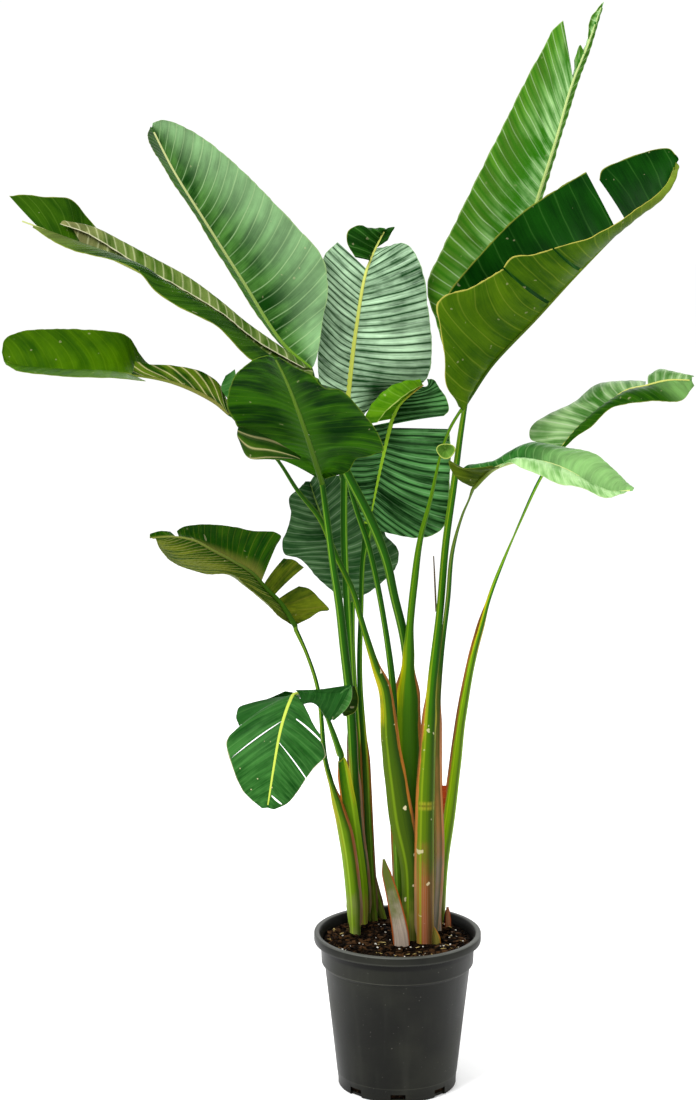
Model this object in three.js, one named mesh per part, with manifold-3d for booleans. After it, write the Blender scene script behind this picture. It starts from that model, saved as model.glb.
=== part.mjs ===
// A tall potted bird of paradise (a white bird of paradise with leaves like a banana's) in a nursery pot.
// Millimetres, +Z up. The origin is the centre of the pot's flat underside, and -Y is the front.
import * as THREE from "three";
import { mergeVertices } from "three/addons/utils/BufferGeometryUtils.js";
import Module from "manifold-3d";

const wasm = await Module();
wasm.setup();

// Pot
const POT_HEIGHT = 255;
const RIM_RADIUS = 135;
const RIM_BAND = 15; // height of the rim's outer band
const RIM_LIP = 2; // round-over on the rim's top and bottom edges
const COLLAR_RADIUS = 123;
const COLLAR_BOTTOM = 205; // height of the step under the collar
const BODY_TOP_RADIUS = 118;
const FOOT_RADIUS = 97;
const FOOT_RING = 20; // height of the faint ring line over the foot
const WALL = 3;
const FLOOR = 4;
const POT_SIDES = 36;
const NOTCHES = 8; // drain notches round the foot
const NOTCH_WIDTH = 26;
const NOTCH_HEIGHT = 9;
const NOTCH_DEPTH = 12;

// Potting mix
const SOIL_TOP = 240;
const SOIL_MOUND = 3; // height of its unevenness
const SOIL_RINGS = 4;
const SOIL_SIDES = 24;
const CLEARANCE = 0.35; // gap between pieces that touch

// Leaves
const SHEET = 1.4; // thickness of a leaf blade
const RIB_WIDTH = 9; // midrib where the blade begins
const RIB_TIP_WIDTH = 2.6;
const SECTION_SIDES = 8; // sides of a leaf stalk's section
const STALK_STEP = 78; // length of one step along a stalk
const RIB_STEPS = 10;
const CELL_LENGTH = 46; // length of a blade's cells along the midrib
const CELLS_ACROSS = 3;
const VEIN_SWEEP = 0.28; // how far the side veins lean to the tip
const WAVES = 3.2; // waves along a wavy margin
const GROOVE = 0.34; // depth of the channel in a stalk, as a share of its thickness
const TURN_START = 0.55; // share of a stalk from where it turns to face as its blade does
const RIB_END = 0.97; // share of the midrib's line that stands out of the blade
const RIB_DEPTH = 0.85; // thickness of a midrib against its width
const RIB_GROOVE = 0.12;
const SHEATH_DEPTH = 0.36; // thickness of an old sheath against its width, at least
const SHEATH_THINNEST = 2;
const SHEATH_STEPS = 6;
const STALK_FLATNESS = 0.62; // thickness of a stalk against its width, up to
const STALK_THICKEST = 13;
const LEFT = -1;
const RIGHT = 1;

// Each leaf is a stalk from its foot in the mix to its blade, with its width at each point, a midrib from the
// blade's base to its tip, and lobes. A lobe hangs on a span of the midrib and ends at its edge; a crest is
// the line that a rolled lobe passes over on its way to the edge. arch is the bulge between midrib and edge.
// groove is 1 where the stalk's channel faces the back, and -1 where it faces the front. The points were picked by
// eye on the photograph, with guessed depths, and converted to millimetres through a camera solved from the pot.
const LEAVES = {
  upper_left: {
    groove: 1,
    stalk: [
      [28, 26, 228, 18], [20, 33, 531, 16], [13, 40, 710, 15], [-7, 26, 803, 14],
      [-20, 14, 863, 14], [-47, 2, 934, 15], [-82, -13, 1006, 14], [-116, -20, 1081, 13],
      [-131, -18, 1135, 12],
    ],
    rib: [
      [-137, -15, 1169], [-180, -18, 1208], [-242, -35, 1307], [-301, -58, 1404],
      [-342, -76, 1473], [-373, -92, 1537],
    ],
    lobes: [
      { side: LEFT, span: [0, 1], arch: 10,
        edge: [
          [-133, -10, 1172], [-127, 0, 1190], [-119, 25, 1240], [-111, 35, 1289], [-119, 35, 1337],
          [-151, 30, 1376], [-196, 15, 1425], [-253, -10, 1483], [-309, -35, 1528],
          [-355, -65, 1549], [-372, -86, 1545],
        ],
      },
      { side: RIGHT, span: [0, 1], arch: 12,
        edge: [
          [-144, -8, 1170], [-193, 50, 1206], [-260, 85, 1299], [-319, 80, 1397], [-363, 50, 1469],
          [-384, -30, 1521], [-376, -84, 1539],
        ],
      },
    ],
  },
  long_left: {
    groove: 1,
    stalk: [
      [8, 12, 228, 16], [-3, 2, 473, 16], [-7, 0, 572, 13], [-8, 2, 650, 11], [-25, 6, 778, 9],
      [-47, 15, 882, 9], [-67, 18, 943, 9], [-80, 8, 994, 9], [-91, -22, 1066, 10],
      [-108, -55, 1124, 10],
    ],
    rib: [
      [-126, -80, 1158], [-209, -92, 1202], [-269, -100, 1251], [-348, -108, 1300],
      [-451, -116, 1352], [-549, -120, 1393], [-574, -120, 1402],
    ],
    lobes: [
      { side: RIGHT, span: [0.02, 0.8],
        crest: [
          [-135, -66, 1172], [-172, -58, 1199], [-202, -58, 1220], [-236, -62, 1245],
          [-276, -66, 1279], [-320, -70, 1312], [-371, -76, 1341], [-416, -84, 1366],
          [-459, -96, 1388], [-499, -108, 1397],
        ],
        edge: [
          [-147, -84, 1177], [-210, -92, 1213], [-266, -98, 1257], [-318, -102, 1291],
          [-378, -107, 1324], [-429, -112, 1356], [-473, -116, 1383], [-510, -118, 1396],
        ],
      },
      { side: RIGHT, span: [0.76, 0.93], arch: -6,
        edge: [
          [-458, -70, 1385], [-476, -72, 1407], [-488, -78, 1424], [-502, -88, 1434],
          [-534, -100, 1436], [-562, -112, 1440], [-585, -120, 1438],
        ],
      },
      { side: LEFT, span: [0, 0.95], arch: 12, wave: 4,
        edge: [
          [-135, -90, 1150], [-170, -130, 1164], [-223, -165, 1200], [-274, -180, 1245],
          [-313, -188, 1268], [-365, -192, 1308], [-384, -194, 1327], [-431, -194, 1345],
          [-494, -180, 1367], [-529, -150, 1380], [-550, -126, 1391],
        ],
      },
    ],
  },
  level_left: {
    groove: 1,
    stalk: [
      [22, -8, 228, 24], [21, -9, 360, 27], [6, -12, 444, 34], [-5, -16, 519, 29],
      [-12, -20, 569, 24], [-22, -28, 662, 15], [-36, -32, 699, 12], [-60, -40, 779, 9],
      [-72, -44, 822, 9], [-102, -52, 888, 9], [-123, -58, 939, 9], [-157, -64, 984, 8],
      [-191, -70, 1037, 7], [-227, -74, 1071, 8],
    ],
    rib: [
      [-261, -75, 1107], [-285, -80, 1127], [-350, -95, 1158], [-437, -110, 1172],
      [-504, -120, 1173], [-571, -125, 1181], [-598, -125, 1192],
    ],
    lobes: [
      { side: LEFT, span: [0, 0.46], arch: -8,
        edge: [
          [-262, -82, 1121], [-276, -88, 1153], [-293, -90, 1167], [-314, -94, 1176],
          [-350, -100, 1183], [-380, -106, 1185], [-402, -110, 1190],
        ],
      },
      { side: RIGHT, span: [0, 1], arch: -8,
        edge: [
          [-259, -66, 1112], [-287, -36, 1141], [-324, -28, 1160], [-362, -30, 1168],
          [-385, -40, 1178], [-399, -50, 1195], [-413, -60, 1220], [-426, -65, 1228],
          [-490, -80, 1236], [-546, -95, 1237], [-572, -105, 1235], [-597, -115, 1224],
          [-601, -122, 1205],
        ],
      },
      { side: LEFT, span: [0.47, 1], arch: 8,
        edge: [
          [-381, -175, 1167], [-429, -200, 1175], [-494, -208, 1177], [-562, -195, 1183],
          [-592, -145, 1188],
        ],
      },
    ],
  },
  front: {
    groove: 1,
    stalk: [
      [-50, 88, 228, 15], [-54, 84, 314, 16], [-64, 68, 404, 16], [-70, 42, 507, 15],
      [-77, 12, 635, 15], [-86, -15, 723, 14], [-94, -50, 804, 13], [-103, -76, 869, 11],
      [-111, -86, 933, 10],
    ],
    rib: [
      [-120, -84, 1001], [-138, -160, 1072], [-159, -245, 1147], [-171, -295, 1185],
      [-184, -345, 1219],
    ],
    lobes: [
      { side: RIGHT, span: [0, 1], arch: 14, wave: 4,
        edge: [
          [-124, -84, 1006], [-160, -90, 1025], [-182, -96, 1037], [-206, -104, 1043],
          [-230, -118, 1053], [-243, -136, 1079], [-253, -172, 1114], [-259, -200, 1137],
          [-254, -235, 1162], [-241, -275, 1190], [-217, -315, 1213], [-194, -340, 1222],
        ],
      },
      { side: LEFT, span: [0, 0.36], arch: 10, wave: 3,
        edge: [
          [-115, -84, 1006], [-92, -82, 1012], [-80, -84, 1020], [-65, -97, 1037],
          [-45, -107, 1048], [-27, -120, 1051], [-26, -128, 1063], [-35, -147, 1086],
        ],
      },
      { side: LEFT, span: [0.37, 1], arch: 10, wave: 2,
        edge: [
          [-36, -149, 1089], [-56, -185, 1119], [-77, -220, 1147], [-96, -248, 1165],
          [-115, -268, 1168], [-135, -292, 1189], [-160, -322, 1207], [-177, -342, 1219],
        ],
      },
    ],
  },
  upright: {
    groove: -1,
    stalk: [
      [-74, 82, 228, 13], [-72, 84, 348, 14], [-72, 78, 485, 13], [-75, 66, 653, 11],
      [-82, 54, 788, 11], [-86, 50, 887, 11], [-86, 50, 987, 11],
    ],
    rib: [
      [-85, 56, 1041], [-80, 76, 1115], [-67, 90, 1223], [-50, 100, 1314], [-29, 108, 1362],
      [-21, 112, 1376],
    ],
    lobes: [
      { side: LEFT, span: [0, 0.8], arch: 8, wave: 4,
        edge: [
          [-91, 58, 1044], [-110, 64, 1070], [-123, 74, 1117], [-128, 84, 1171], [-126, 88, 1219],
          [-124, 86, 1266], [-121, 92, 1313], [-118, 94, 1335], [-97, 96, 1357],
        ],
      },
      { side: LEFT, span: [0.84, 1], arch: 6,
        edge: [
          [-69, 84, 1334], [-82, 78, 1358], [-80, 80, 1375], [-64, 84, 1384], [-45, 96, 1379],
          [-28, 108, 1378],
        ],
      },
      { side: RIGHT, span: [0.9, 1],
        edge: [
          [-17, 108, 1359], [-12, 108, 1369], [-6, 106, 1380], [-17, 110, 1378],
        ],
      },
      { side: RIGHT, span: [0, 0.9], arch: 8, wave: 4,
        edge: [
          [-78, 60, 1045], [-70, 70, 1066], [-55, 84, 1085], [-35, 98, 1103], [-11, 108, 1121],
          [16, 111, 1130], [38, 110, 1133], [49, 106, 1147], [54, 98, 1181], [52, 94, 1218],
          [47, 92, 1255], [42, 92, 1297], [34, 90, 1323], [19, 98, 1349], [5, 102, 1355],
          [-14, 104, 1350], [-28, 104, 1347],
        ],
      },
    ],
  },
  centre: {
    groove: -1,
    stalk: [
      [-36, 96, 228, 12], [-44, 96, 344, 12], [-52, 92, 515, 11], [-61, 88, 657, 9],
      [-59, 84, 768, 8], [-56, 84, 849, 8],
    ],
    rib: [
      [-46, 86, 907], [-35, 92, 966], [-22, 98, 1024], [-11, 102, 1067], [1, 100, 1096],
      [19, 88, 1117], [40, 66, 1137],
    ],
    lobes: [
      { side: RIGHT, span: [0.62, 0.96], arch: 8,
        edge: [
          [73, 78, 1083], [81, 80, 1092], [76, 86, 1112], [66, 90, 1126], [57, 92, 1139],
          [45, 84, 1141],
        ],
      },
      { side: RIGHT, span: [0, 0.6], arch: 8, wave: 4,
        edge: [
          [-38, 86, 899], [-9, 82, 892], [26, 78, 886], [55, 74, 891], [74, 70, 905],
          [81, 68, 949], [84, 70, 1005], [82, 76, 1062],
        ],
      },
      { side: LEFT, span: [0, 0.64], arch: 8, wave: 3,
        edge: [
          [-51, 86, 910], [-70, 84, 934], [-90, 82, 973], [-98, 80, 1020], [-90, 80, 1057],
        ],
      },
      { side: LEFT, span: [0.66, 0.97],
        crest: [
          [-53, 76, 1070], [-48, 60, 1093], [-33, 50, 1116], [-12, 46, 1134], [11, 48, 1142],
          [34, 56, 1143],
        ],
        edge: [
          [-33, 52, 1076], [-17, 42, 1097], [3, 42, 1114], [24, 50, 1128], [38, 60, 1134],
        ],
      },
    ],
  },
  back: {
    groove: -1,
    stalk: [
      [-18, 102, 228, 11], [-47, 116, 338, 11], [-60, 130, 505, 10], [-70, 138, 638, 9],
      [-73, 140, 705, 9],
    ],
    rib: [
      [-73, 140, 769], [-93, 146, 837], [-116, 154, 889], [-139, 168, 950], [-162, 182, 1005],
    ],
    lobes: [
      { side: LEFT, span: [0, 1], arch: 10, wave: 5,
        edge: [
          [-80, 138, 771], [-104, 132, 787], [-129, 124, 813], [-148, 118, 834], [-164, 115, 846],
          [-182, 112, 854], [-185, 115, 874], [-180, 122, 891], [-174, 132, 919], [-174, 142, 942],
          [-181, 158, 976], [-173, 176, 1001],
        ],
      },
      { side: RIGHT, span: [0, 1], arch: 10, wave: 4,
        edge: [
          [-65, 140, 775], [-39, 130, 792], [-15, 122, 814], [-1, 118, 833], [3, 119, 854],
          [-2, 122, 867], [-18, 128, 882], [-28, 138, 913], [-51, 158, 968], [-101, 175, 1006],
          [-147, 180, 1014],
        ],
      },
    ],
  },
  low_left: {
    groove: 1,
    stalk: [
      [-68, 27, 228, 17], [-70, 27, 298, 20], [-82, 27, 399, 19], [-96, 27, 456, 13],
      [-107, 28, 494, 9], [-117, 28, 535, 8], [-128, 28, 648, 7], [-145, 30, 704, 7],
    ],
    rib: [
      [-166, 30, 752], [-186, 15, 789], [-211, 0, 819], [-232, -15, 846], [-260, -35, 868],
      [-292, -60, 891], [-317, -80, 909], [-347, -102, 919], [-382, -125, 921],
    ],
    lobes: [
      { side: LEFT, span: [0.3, 0.84], arch: 10,
        edge: [
          [-194, 34, 882], [-186, 32, 897], [-196, 26, 905], [-225, 10, 909], [-266, -20, 922],
          [-307, -50, 930], [-334, -75, 930], [-343, -88, 926],
        ],
      },
      { side: LEFT, span: [0.86, 1],
        edge: [
          [-353, -96, 926], [-368, -108, 929], [-382, -120, 927],
        ],
      },
      { side: LEFT, span: [0.2, 0.28], arch: 4,
        edge: [
          [-150, 52, 843], [-166, 46, 856], [-182, 40, 860],
        ],
      },
      { side: LEFT, span: [0.02, 0.17], arch: 6,
        edge: [
          [-161, 34, 754], [-141, 44, 762], [-125, 54, 770], [-110, 60, 772], [-125, 60, 790],
          [-141, 56, 807], [-158, 48, 813],
        ],
      },
      { side: RIGHT, span: [0, 0.97], arch: 10, wave: 4,
        edge: [
          [-172, 26, 756], [-185, 6, 771], [-200, -16, 789], [-216, -34, 808], [-230, -50, 828],
          [-247, -75, 847], [-268, -100, 859], [-303, -130, 871], [-338, -148, 881],
          [-351, -152, 891], [-360, -150, 903], [-369, -136, 914],
        ],
      },
    ],
  },
  hanging: {
    groove: -1,
    stalk: [
      [-57, 68, 228, 20], [-62, 57, 317, 24], [-72, 47, 401, 24], [-78, 36, 453, 22],
      [-85, 14, 503, 19], [-90, -8, 542, 14], [-99, -38, 580, 10],
    ],
    rib: [
      [-113, -72, 629], [-127, -92, 657], [-145, -112, 674], [-162, -130, 679], [-170, -150, 669],
      [-178, -165, 649], [-185, -180, 623], [-194, -198, 572], [-202, -205, 519],
    ],
    lobes: [
      { side: LEFT, span: [0.03, 0.22], arch: -4,
        edge: [
          [-108, -76, 629], [-97, -82, 643], [-88, -88, 662], [-83, -94, 680], [-108, -108, 681],
          [-131, -120, 681],
        ],
      },
      { side: RIGHT, span: [0.1, 0.29], arch: 4,
        edge: [
          [-178, -84, 672], [-214, -72, 654], [-250, -76, 645], [-254, -92, 634], [-249, -110, 623],
        ],
      },
      { side: RIGHT, span: [0.325, 0.52], arch: 7,
        edge: [
          [-246, -142, 626], [-262, -156, 619], [-267, -164, 608], [-262, -172, 588],
        ],
      },
      { side: RIGHT, span: [0.53, 1], arch: 3,
        edge: [
          [-260, -174, 584], [-251, -184, 560], [-240, -191, 541], [-226, -198, 529],
          [-211, -204, 518],
        ],
      },
      { side: LEFT, span: [0.34, 0.64], arch: 8, wave: 3,
        edge: [
          [-149, -150, 650], [-130, -160, 634], [-120, -170, 613], [-115, -180, 592],
          [-130, -188, 578], [-142, -194, 563],
        ],
      },
      { side: LEFT, span: [0.65, 1], arch: 6,
        edge: [
          [-145, -195, 560], [-158, -200, 541], [-171, -204, 526], [-191, -206, 517],
        ],
      },
    ],
  },
  tall_right: {
    groove: 1,
    stalk: [
      [43, -21, 228, 25], [42, -22, 364, 26], [43, -19, 479, 24], [49, -12, 608, 18],
      [53, -6, 665, 15], [66, 12, 783, 12], [75, 30, 886, 12], [88, 52, 976, 12],
      [100, 76, 1061, 11],
    ],
    rib: [
      [108, 92, 1107], [147, 100, 1202], [185, 108, 1309], [220, 114, 1425], [249, 120, 1518],
      [272, 126, 1599], [297, 131, 1662], [321, 136, 1729],
    ],
    lobes: [
      { side: RIGHT, span: [0, 0.8], arch: 10, wave: 3,
        edge: [
          [103, 94, 1111], [79, 100, 1167], [60, 106, 1230], [45, 110, 1286], [68, 116, 1343],
          [104, 126, 1415], [140, 136, 1488], [176, 144, 1560], [211, 150, 1627], [231, 153, 1663],
          [242, 154, 1686], [259, 152, 1701],
        ],
      },
      { side: RIGHT, span: [0.81, 0.87],
        edge: [
          [276, 134, 1639], [285, 134, 1663], [289, 132, 1655],
        ],
      },
      { side: RIGHT, span: [0.9, 1], arch: 2,
        edge: [
          [297, 134, 1673], [300, 134, 1703], [311, 136, 1718], [318, 137, 1727],
        ],
      },
      { side: LEFT, span: [0, 0.97], arch: 12,
        edge: [
          [115, 104, 1108], [162, 180, 1197], [199, 200, 1302], [233, 206, 1418], [261, 206, 1510],
          [283, 190, 1590], [303, 160, 1655], [320, 141, 1720],
        ],
      },
    ],
  },
  folded_right: {
    groove: 1,
    stalk: [
      [32, 9, 228, 24], [23, 10, 370, 26], [16, 14, 469, 36], [15, 18, 551, 42], [14, 20, 633, 38],
      [16, 20, 695, 20], [19, 20, 760, 12], [25, 22, 822, 12], [34, 28, 890, 11],
      [50, 32, 955, 11], [65, 36, 1025, 10], [79, 38, 1066, 10],
    ],
    rib: [
      [98, 38, 1099], [112, 38, 1121], [144, 34, 1169], [213, 20, 1244], [277, 5, 1316],
      [364, -15, 1406], [397, -20, 1432], [414, -25, 1458], [419, -28, 1485],
    ],
    lobes: [
      { side: RIGHT, span: [0.01, 0.42], arch: -14,
        edge: [
          [94, 34, 1103], [88, 25, 1116], [73, 8, 1140], [68, -22, 1193], [61, -37, 1232],
          [56, -42, 1272], [71, -44, 1286], [100, -52, 1294], [129, -57, 1310], [154, -62, 1322],
        ],
      },
      { side: RIGHT, span: [0.43, 0.56], arch: -12,
        edge: [
          [157, -64, 1333], [169, -66, 1344], [199, -68, 1348], [226, -72, 1356],
        ],
      },
      { side: RIGHT, span: [0.57, 1], arch: -8,
        edge: [
          [235, -74, 1359], [256, -74, 1365], [284, -74, 1373], [301, -72, 1382], [327, -66, 1395],
          [353, -60, 1413], [386, -48, 1435], [406, -38, 1456], [414, -32, 1473],
        ],
      },
      { side: LEFT, span: [0.01, 0.72], arch: -12,
        edge: [
          [101, 46, 1106], [84, 60, 1142], [70, 66, 1205], [66, 64, 1249], [79, 60, 1282],
          [140, 54, 1356], [183, 48, 1400], [224, 40, 1430], [263, 30, 1455], [287, 22, 1469],
        ],
      },
      { side: LEFT, span: [0.76, 1], arch: -6,
        edge: [
          [307, 18, 1457], [311, 16, 1472], [347, 6, 1490], [389, -6, 1504], [410, -16, 1505],
          [419, -24, 1496],
        ],
      },
    ],
  },
  right_far: {
    groove: 1,
    stalk: [
      [69, 73, 228, 15], [72, 66, 336, 17], [83, 60, 423, 16], [93, 54, 512, 14],
      [102, 48, 595, 11], [119, 44, 695, 8], [133, 44, 749, 7], [148, 46, 802, 7],
      [172, 50, 865, 7], [194, 54, 917, 7], [227, 62, 987, 7],
    ],
    rib: [
      [257, 70, 1031], [288, 62, 1069], [326, 52, 1102], [358, 44, 1127], [387, 38, 1135],
      [422, 34, 1144], [459, 30, 1144],
    ],
    lobes: [
      { side: LEFT, span: [0, 0.7], arch: 10, wave: 3,
        edge: [
          [251, 76, 1033], [227, 95, 1037], [211, 112, 1043], [213, 120, 1060], [246, 122, 1079],
          [291, 120, 1108], [330, 114, 1131], [363, 100, 1136], [393, 82, 1137],
        ],
      },
      { side: LEFT, span: [0.72, 1], arch: 6,
        edge: [
          [400, 74, 1149], [413, 70, 1159], [434, 60, 1155], [454, 48, 1150], [463, 36, 1150],
        ],
      },
      { side: RIGHT, span: [0, 1], arch: 8, wave: 3,
        edge: [
          [266, 58, 1037], [293, 34, 1065], [315, 20, 1087], [340, 8, 1106], [362, 0, 1115],
          [390, -6, 1115], [418, -6, 1115], [442, 0, 1119], [454, 12, 1130], [462, 24, 1137],
        ],
      },
    ],
  },
  right_near: {
    groove: 1,
    stalk: [
      [57, 4, 228, 14], [65, 6, 372, 15], [61, 10, 537, 14], [64, 14, 651, 10], [71, 12, 733, 8],
      [78, 6, 799, 8], [84, -4, 878, 8], [98, -24, 939, 6], [108, -42, 968, 5],
    ],
    rib: [
      [114, -60, 991], [129, -72, 1009], [144, -82, 1023], [175, -98, 1036], [200, -110, 1039],
      [228, -122, 1035], [256, -136, 1025], [283, -150, 1010], [314, -166, 999], [346, -182, 1003],
    ],
    lobes: [
      { side: RIGHT, span: [0.01, 0.22], arch: -4,
        edge: [
          [103, -72, 996], [89, -84, 1006], [78, -92, 1020], [74, -96, 1036], [88, -100, 1027],
          [114, -102, 1026], [140, -102, 1029],
        ],
      },
      { side: LEFT, span: [0.01, 1], arch: 8, wave: 2,
        edge: [
          [110, -50, 1002], [98, -38, 1013], [106, -34, 1019], [125, -36, 1022], [144, -44, 1025],
          [161, -50, 1038], [180, -56, 1050], [203, -64, 1059], [231, -78, 1059], [259, -92, 1055],
          [297, -116, 1048], [320, -138, 1031], [341, -160, 1011], [349, -174, 1006],
        ],
      },
      { side: RIGHT, span: [0.24, 0.97], arch: 8, wave: 3,
        edge: [
          [150, -110, 1028], [168, -134, 1038], [183, -152, 1035], [208, -172, 1022],
          [237, -188, 1016], [279, -204, 1005], [307, -208, 998], [331, -198, 1001],
        ],
      },
    ],
  },
};

// Old sheaths at the foot: outline points [x, y, z, width], and their thickness.
const SHEATHS = {
  sheath_cut: {
    colour: "#8a7a50",
    line: [[7, -27, 228, 26], [4, -28, 262, 25], [-8, -29, 320, 19], [-19, -29, 362, 13], [-23, -29, 384, 4]],
  },
  sheath_dry: {
    colour: "#9a8266",
    line: [[66, 46, 228, 16], [64, 46, 262, 17], [64, 45, 300, 13], [66, 44, 345, 5]],
  },
  sheath_stub_olive: {
    colour: "#6d7a1e",
    line: [[62, -14, 228, 15], [61, -14, 246, 14], [56, -14, 268, 3]],
  },
  sheath_stub_orange: {
    colour: "#b06a3a",
    line: [[84, 58, 228, 9], [84, 58, 252, 8], [83, 58, 276, 4]],
  },
};

function vector(p) {
  return new THREE.Vector3(p[0], p[1], p[2]);
}

function curve(points) {
  return new THREE.CatmullRomCurve3(points.map(vector), false, "centripetal");
}

function smoothstep(t) {
  const c = THREE.MathUtils.clamp(t, 0, 1);
  return c * c * (3 - 2 * c);
}

function solid(geometry) {
  geometry.deleteAttribute("normal");
  geometry.deleteAttribute("uv");
  const merged = mergeVertices(geometry, 1e-4);
  return new wasm.Manifold(
    new wasm.Mesh({
      numProp: 3,
      vertProperties: merged.attributes.position.array,
      triVerts: new Uint32Array(merged.index.array),
    }),
  );
}

// Fills what a join sealed in, and drops loose scraps.
function largestBody(manifold) {
  const bodies = manifold.decompose();
  return bodies.reduce((best, body) => (body.volume() > best.volume() ? body : best));
}

function geometryOf(manifold) {
  const mesh = manifold.getMesh();
  const geometry = new THREE.BufferGeometry();
  geometry.setAttribute("position", new THREE.BufferAttribute(mesh.vertProperties, 3));
  geometry.setIndex(new THREE.BufferAttribute(mesh.triVerts, 1));
  geometry.computeVertexNormals();
  return geometry;
}

function fromLists(positions, triangles) {
  const geometry = new THREE.BufferGeometry();
  geometry.setAttribute("position", new THREE.Float32BufferAttribute(positions, 3));
  geometry.setIndex(triangles);
  return geometry;
}

// A closed tube through rings of equal size, each ring anticlockwise round the direction of travel.
function tube(rings) {
  const sides = rings[0].length;
  const positions = rings.flat().flatMap((p) => [p.x, p.y, p.z]);
  const triangles = [];
  for (let i = 0; i < rings.length - 1; i++) {
    for (let k = 0; k < sides; k++) {
      const a = i * sides + k;
      const b = i * sides + ((k + 1) % sides);
      triangles.push(a, b, b + sides, a, b + sides, a + sides);
    }
  }
  const last = (rings.length - 1) * sides;
  for (let k = 1; k < sides - 1; k++) {
    triangles.push(0, k + 1, k);
    triangles.push(last, last + k, last + k + 1);
  }
  return fromLists(positions, triangles);
}

// One ring of a channelled stalk: across is its width's direction and face the side that the channel is on.
function section({ centre, across, face, width, thickness, groove }) {
  const ring = [];
  for (let k = 0; k < SECTION_SIDES; k++) {
    const angle = (2 * Math.PI * k) / SECTION_SIDES;
    const sideways = Math.cos(angle) * (width / 2);
    let outwards = Math.sin(angle) * (thickness / 2);
    if (k === SECTION_SIDES / 4) outwards -= groove * thickness;
    ring.push(centre.clone().addScaledVector(across, sideways).addScaledVector(face, outwards));
  }
  return ring;
}

function spanShare(lobe, s) {
  return (s - lobe.span[0]) / (lobe.span[1] - lobe.span[0]);
}

// Direction from the midrib to the edge of the lobe nearest to s on one side.
function sideways(leaf, side, s, origin) {
  const own = leaf.lobes.filter((lobe) => lobe.side === side && !lobe.crest);
  const gap = (lobe) => Math.max(lobe.span[0] - s, s - lobe.span[1], 0);
  const nearest = own.sort((a, b) => gap(a) - gap(b))[0];
  if (!nearest) return null;
  const share = THREE.MathUtils.clamp(spanShare(nearest, s), 0.12, 0.88);
  return curve(nearest.edge).getPointAt(share).sub(origin).normalize();
}

// The midrib's frame at s: its point, tangent and the direction of the blade's upper face.
function ribFrame(leaf, s) {
  const rib = curve(leaf.rib);
  const point = rib.getPointAt(s);
  const tangent = rib.getTangentAt(s);
  const middle = THREE.MathUtils.clamp(s, 0.12, 0.88);
  const origin = rib.getPointAt(middle);
  const right = sideways(leaf, RIGHT, middle, origin);
  const left = sideways(leaf, LEFT, middle, origin);
  const across = new THREE.Vector3();
  if (right) across.add(right);
  if (left) across.sub(left);
  const up = across.cross(tangent).normalize();
  return { point, tangent, up };
}

function stalkThickness(width) {
  return Math.min(width * STALK_FLATNESS, STALK_THICKEST);
}

// The stations of a leaf's stalk, from its foot to the base of its blade.
function stalkStations(leaf) {
  const path = curve([...leaf.stalk, leaf.rib[0]]);
  const widths = [...leaf.stalk.map((p) => p[3]), RIB_WIDTH];
  const lengths = path.getLengths(400);
  const total = lengths[400];
  const knots = widths.map((_, i) => lengths[Math.round((400 * i) / (widths.length - 1))] / total);
  const widthAt = (u) => {
    let i = 0;
    while (i < knots.length - 2 && u > knots[i + 1]) i++;
    const share = smoothstep((u - knots[i]) / (knots[i + 1] - knots[i]));
    return THREE.MathUtils.lerp(widths[i], widths[i + 1], share);
  };
  const top = ribFrame(leaf, 0.02);
  const foot = new THREE.Vector3(0, leaf.groove, 0);
  const stations = [];
  const steps = Math.round(total / STALK_STEP);
  for (let i = 0; i < steps; i++) {
    const u = i / steps;
    const centre = path.getPointAt(u);
    const tangent = path.getTangentAt(u);
    const turn = smoothstep((u - TURN_START) / (1 - TURN_START));
    const face = foot.clone().lerp(top.up, turn);
    const across = face.clone().cross(tangent).normalize();
    face.crossVectors(tangent, across).normalize();
    const width = widthAt(u);
    stations.push({ centre, across, face, width, thickness: stalkThickness(width), groove: GROOVE });
  }
  return stations;
}

// The stations of its midrib, which is a keel under the blade and ends near the tip.
function ribStations(leaf) {
  const stations = [];
  for (let i = 0; i <= RIB_STEPS; i++) {
    const s = (RIB_END * i) / RIB_STEPS;
    const { point, tangent, up } = ribFrame(leaf, s);
    const width = THREE.MathUtils.lerp(RIB_WIDTH, RIB_TIP_WIDTH, s);
    const thickness = width * RIB_DEPTH;
    const across = up.clone().cross(tangent).normalize();
    const centre = point.addScaledVector(up, SHEET - thickness / 2);
    stations.push({ centre, across, face: up, width, thickness, groove: RIB_GROOVE });
  }
  return stations;
}

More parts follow.
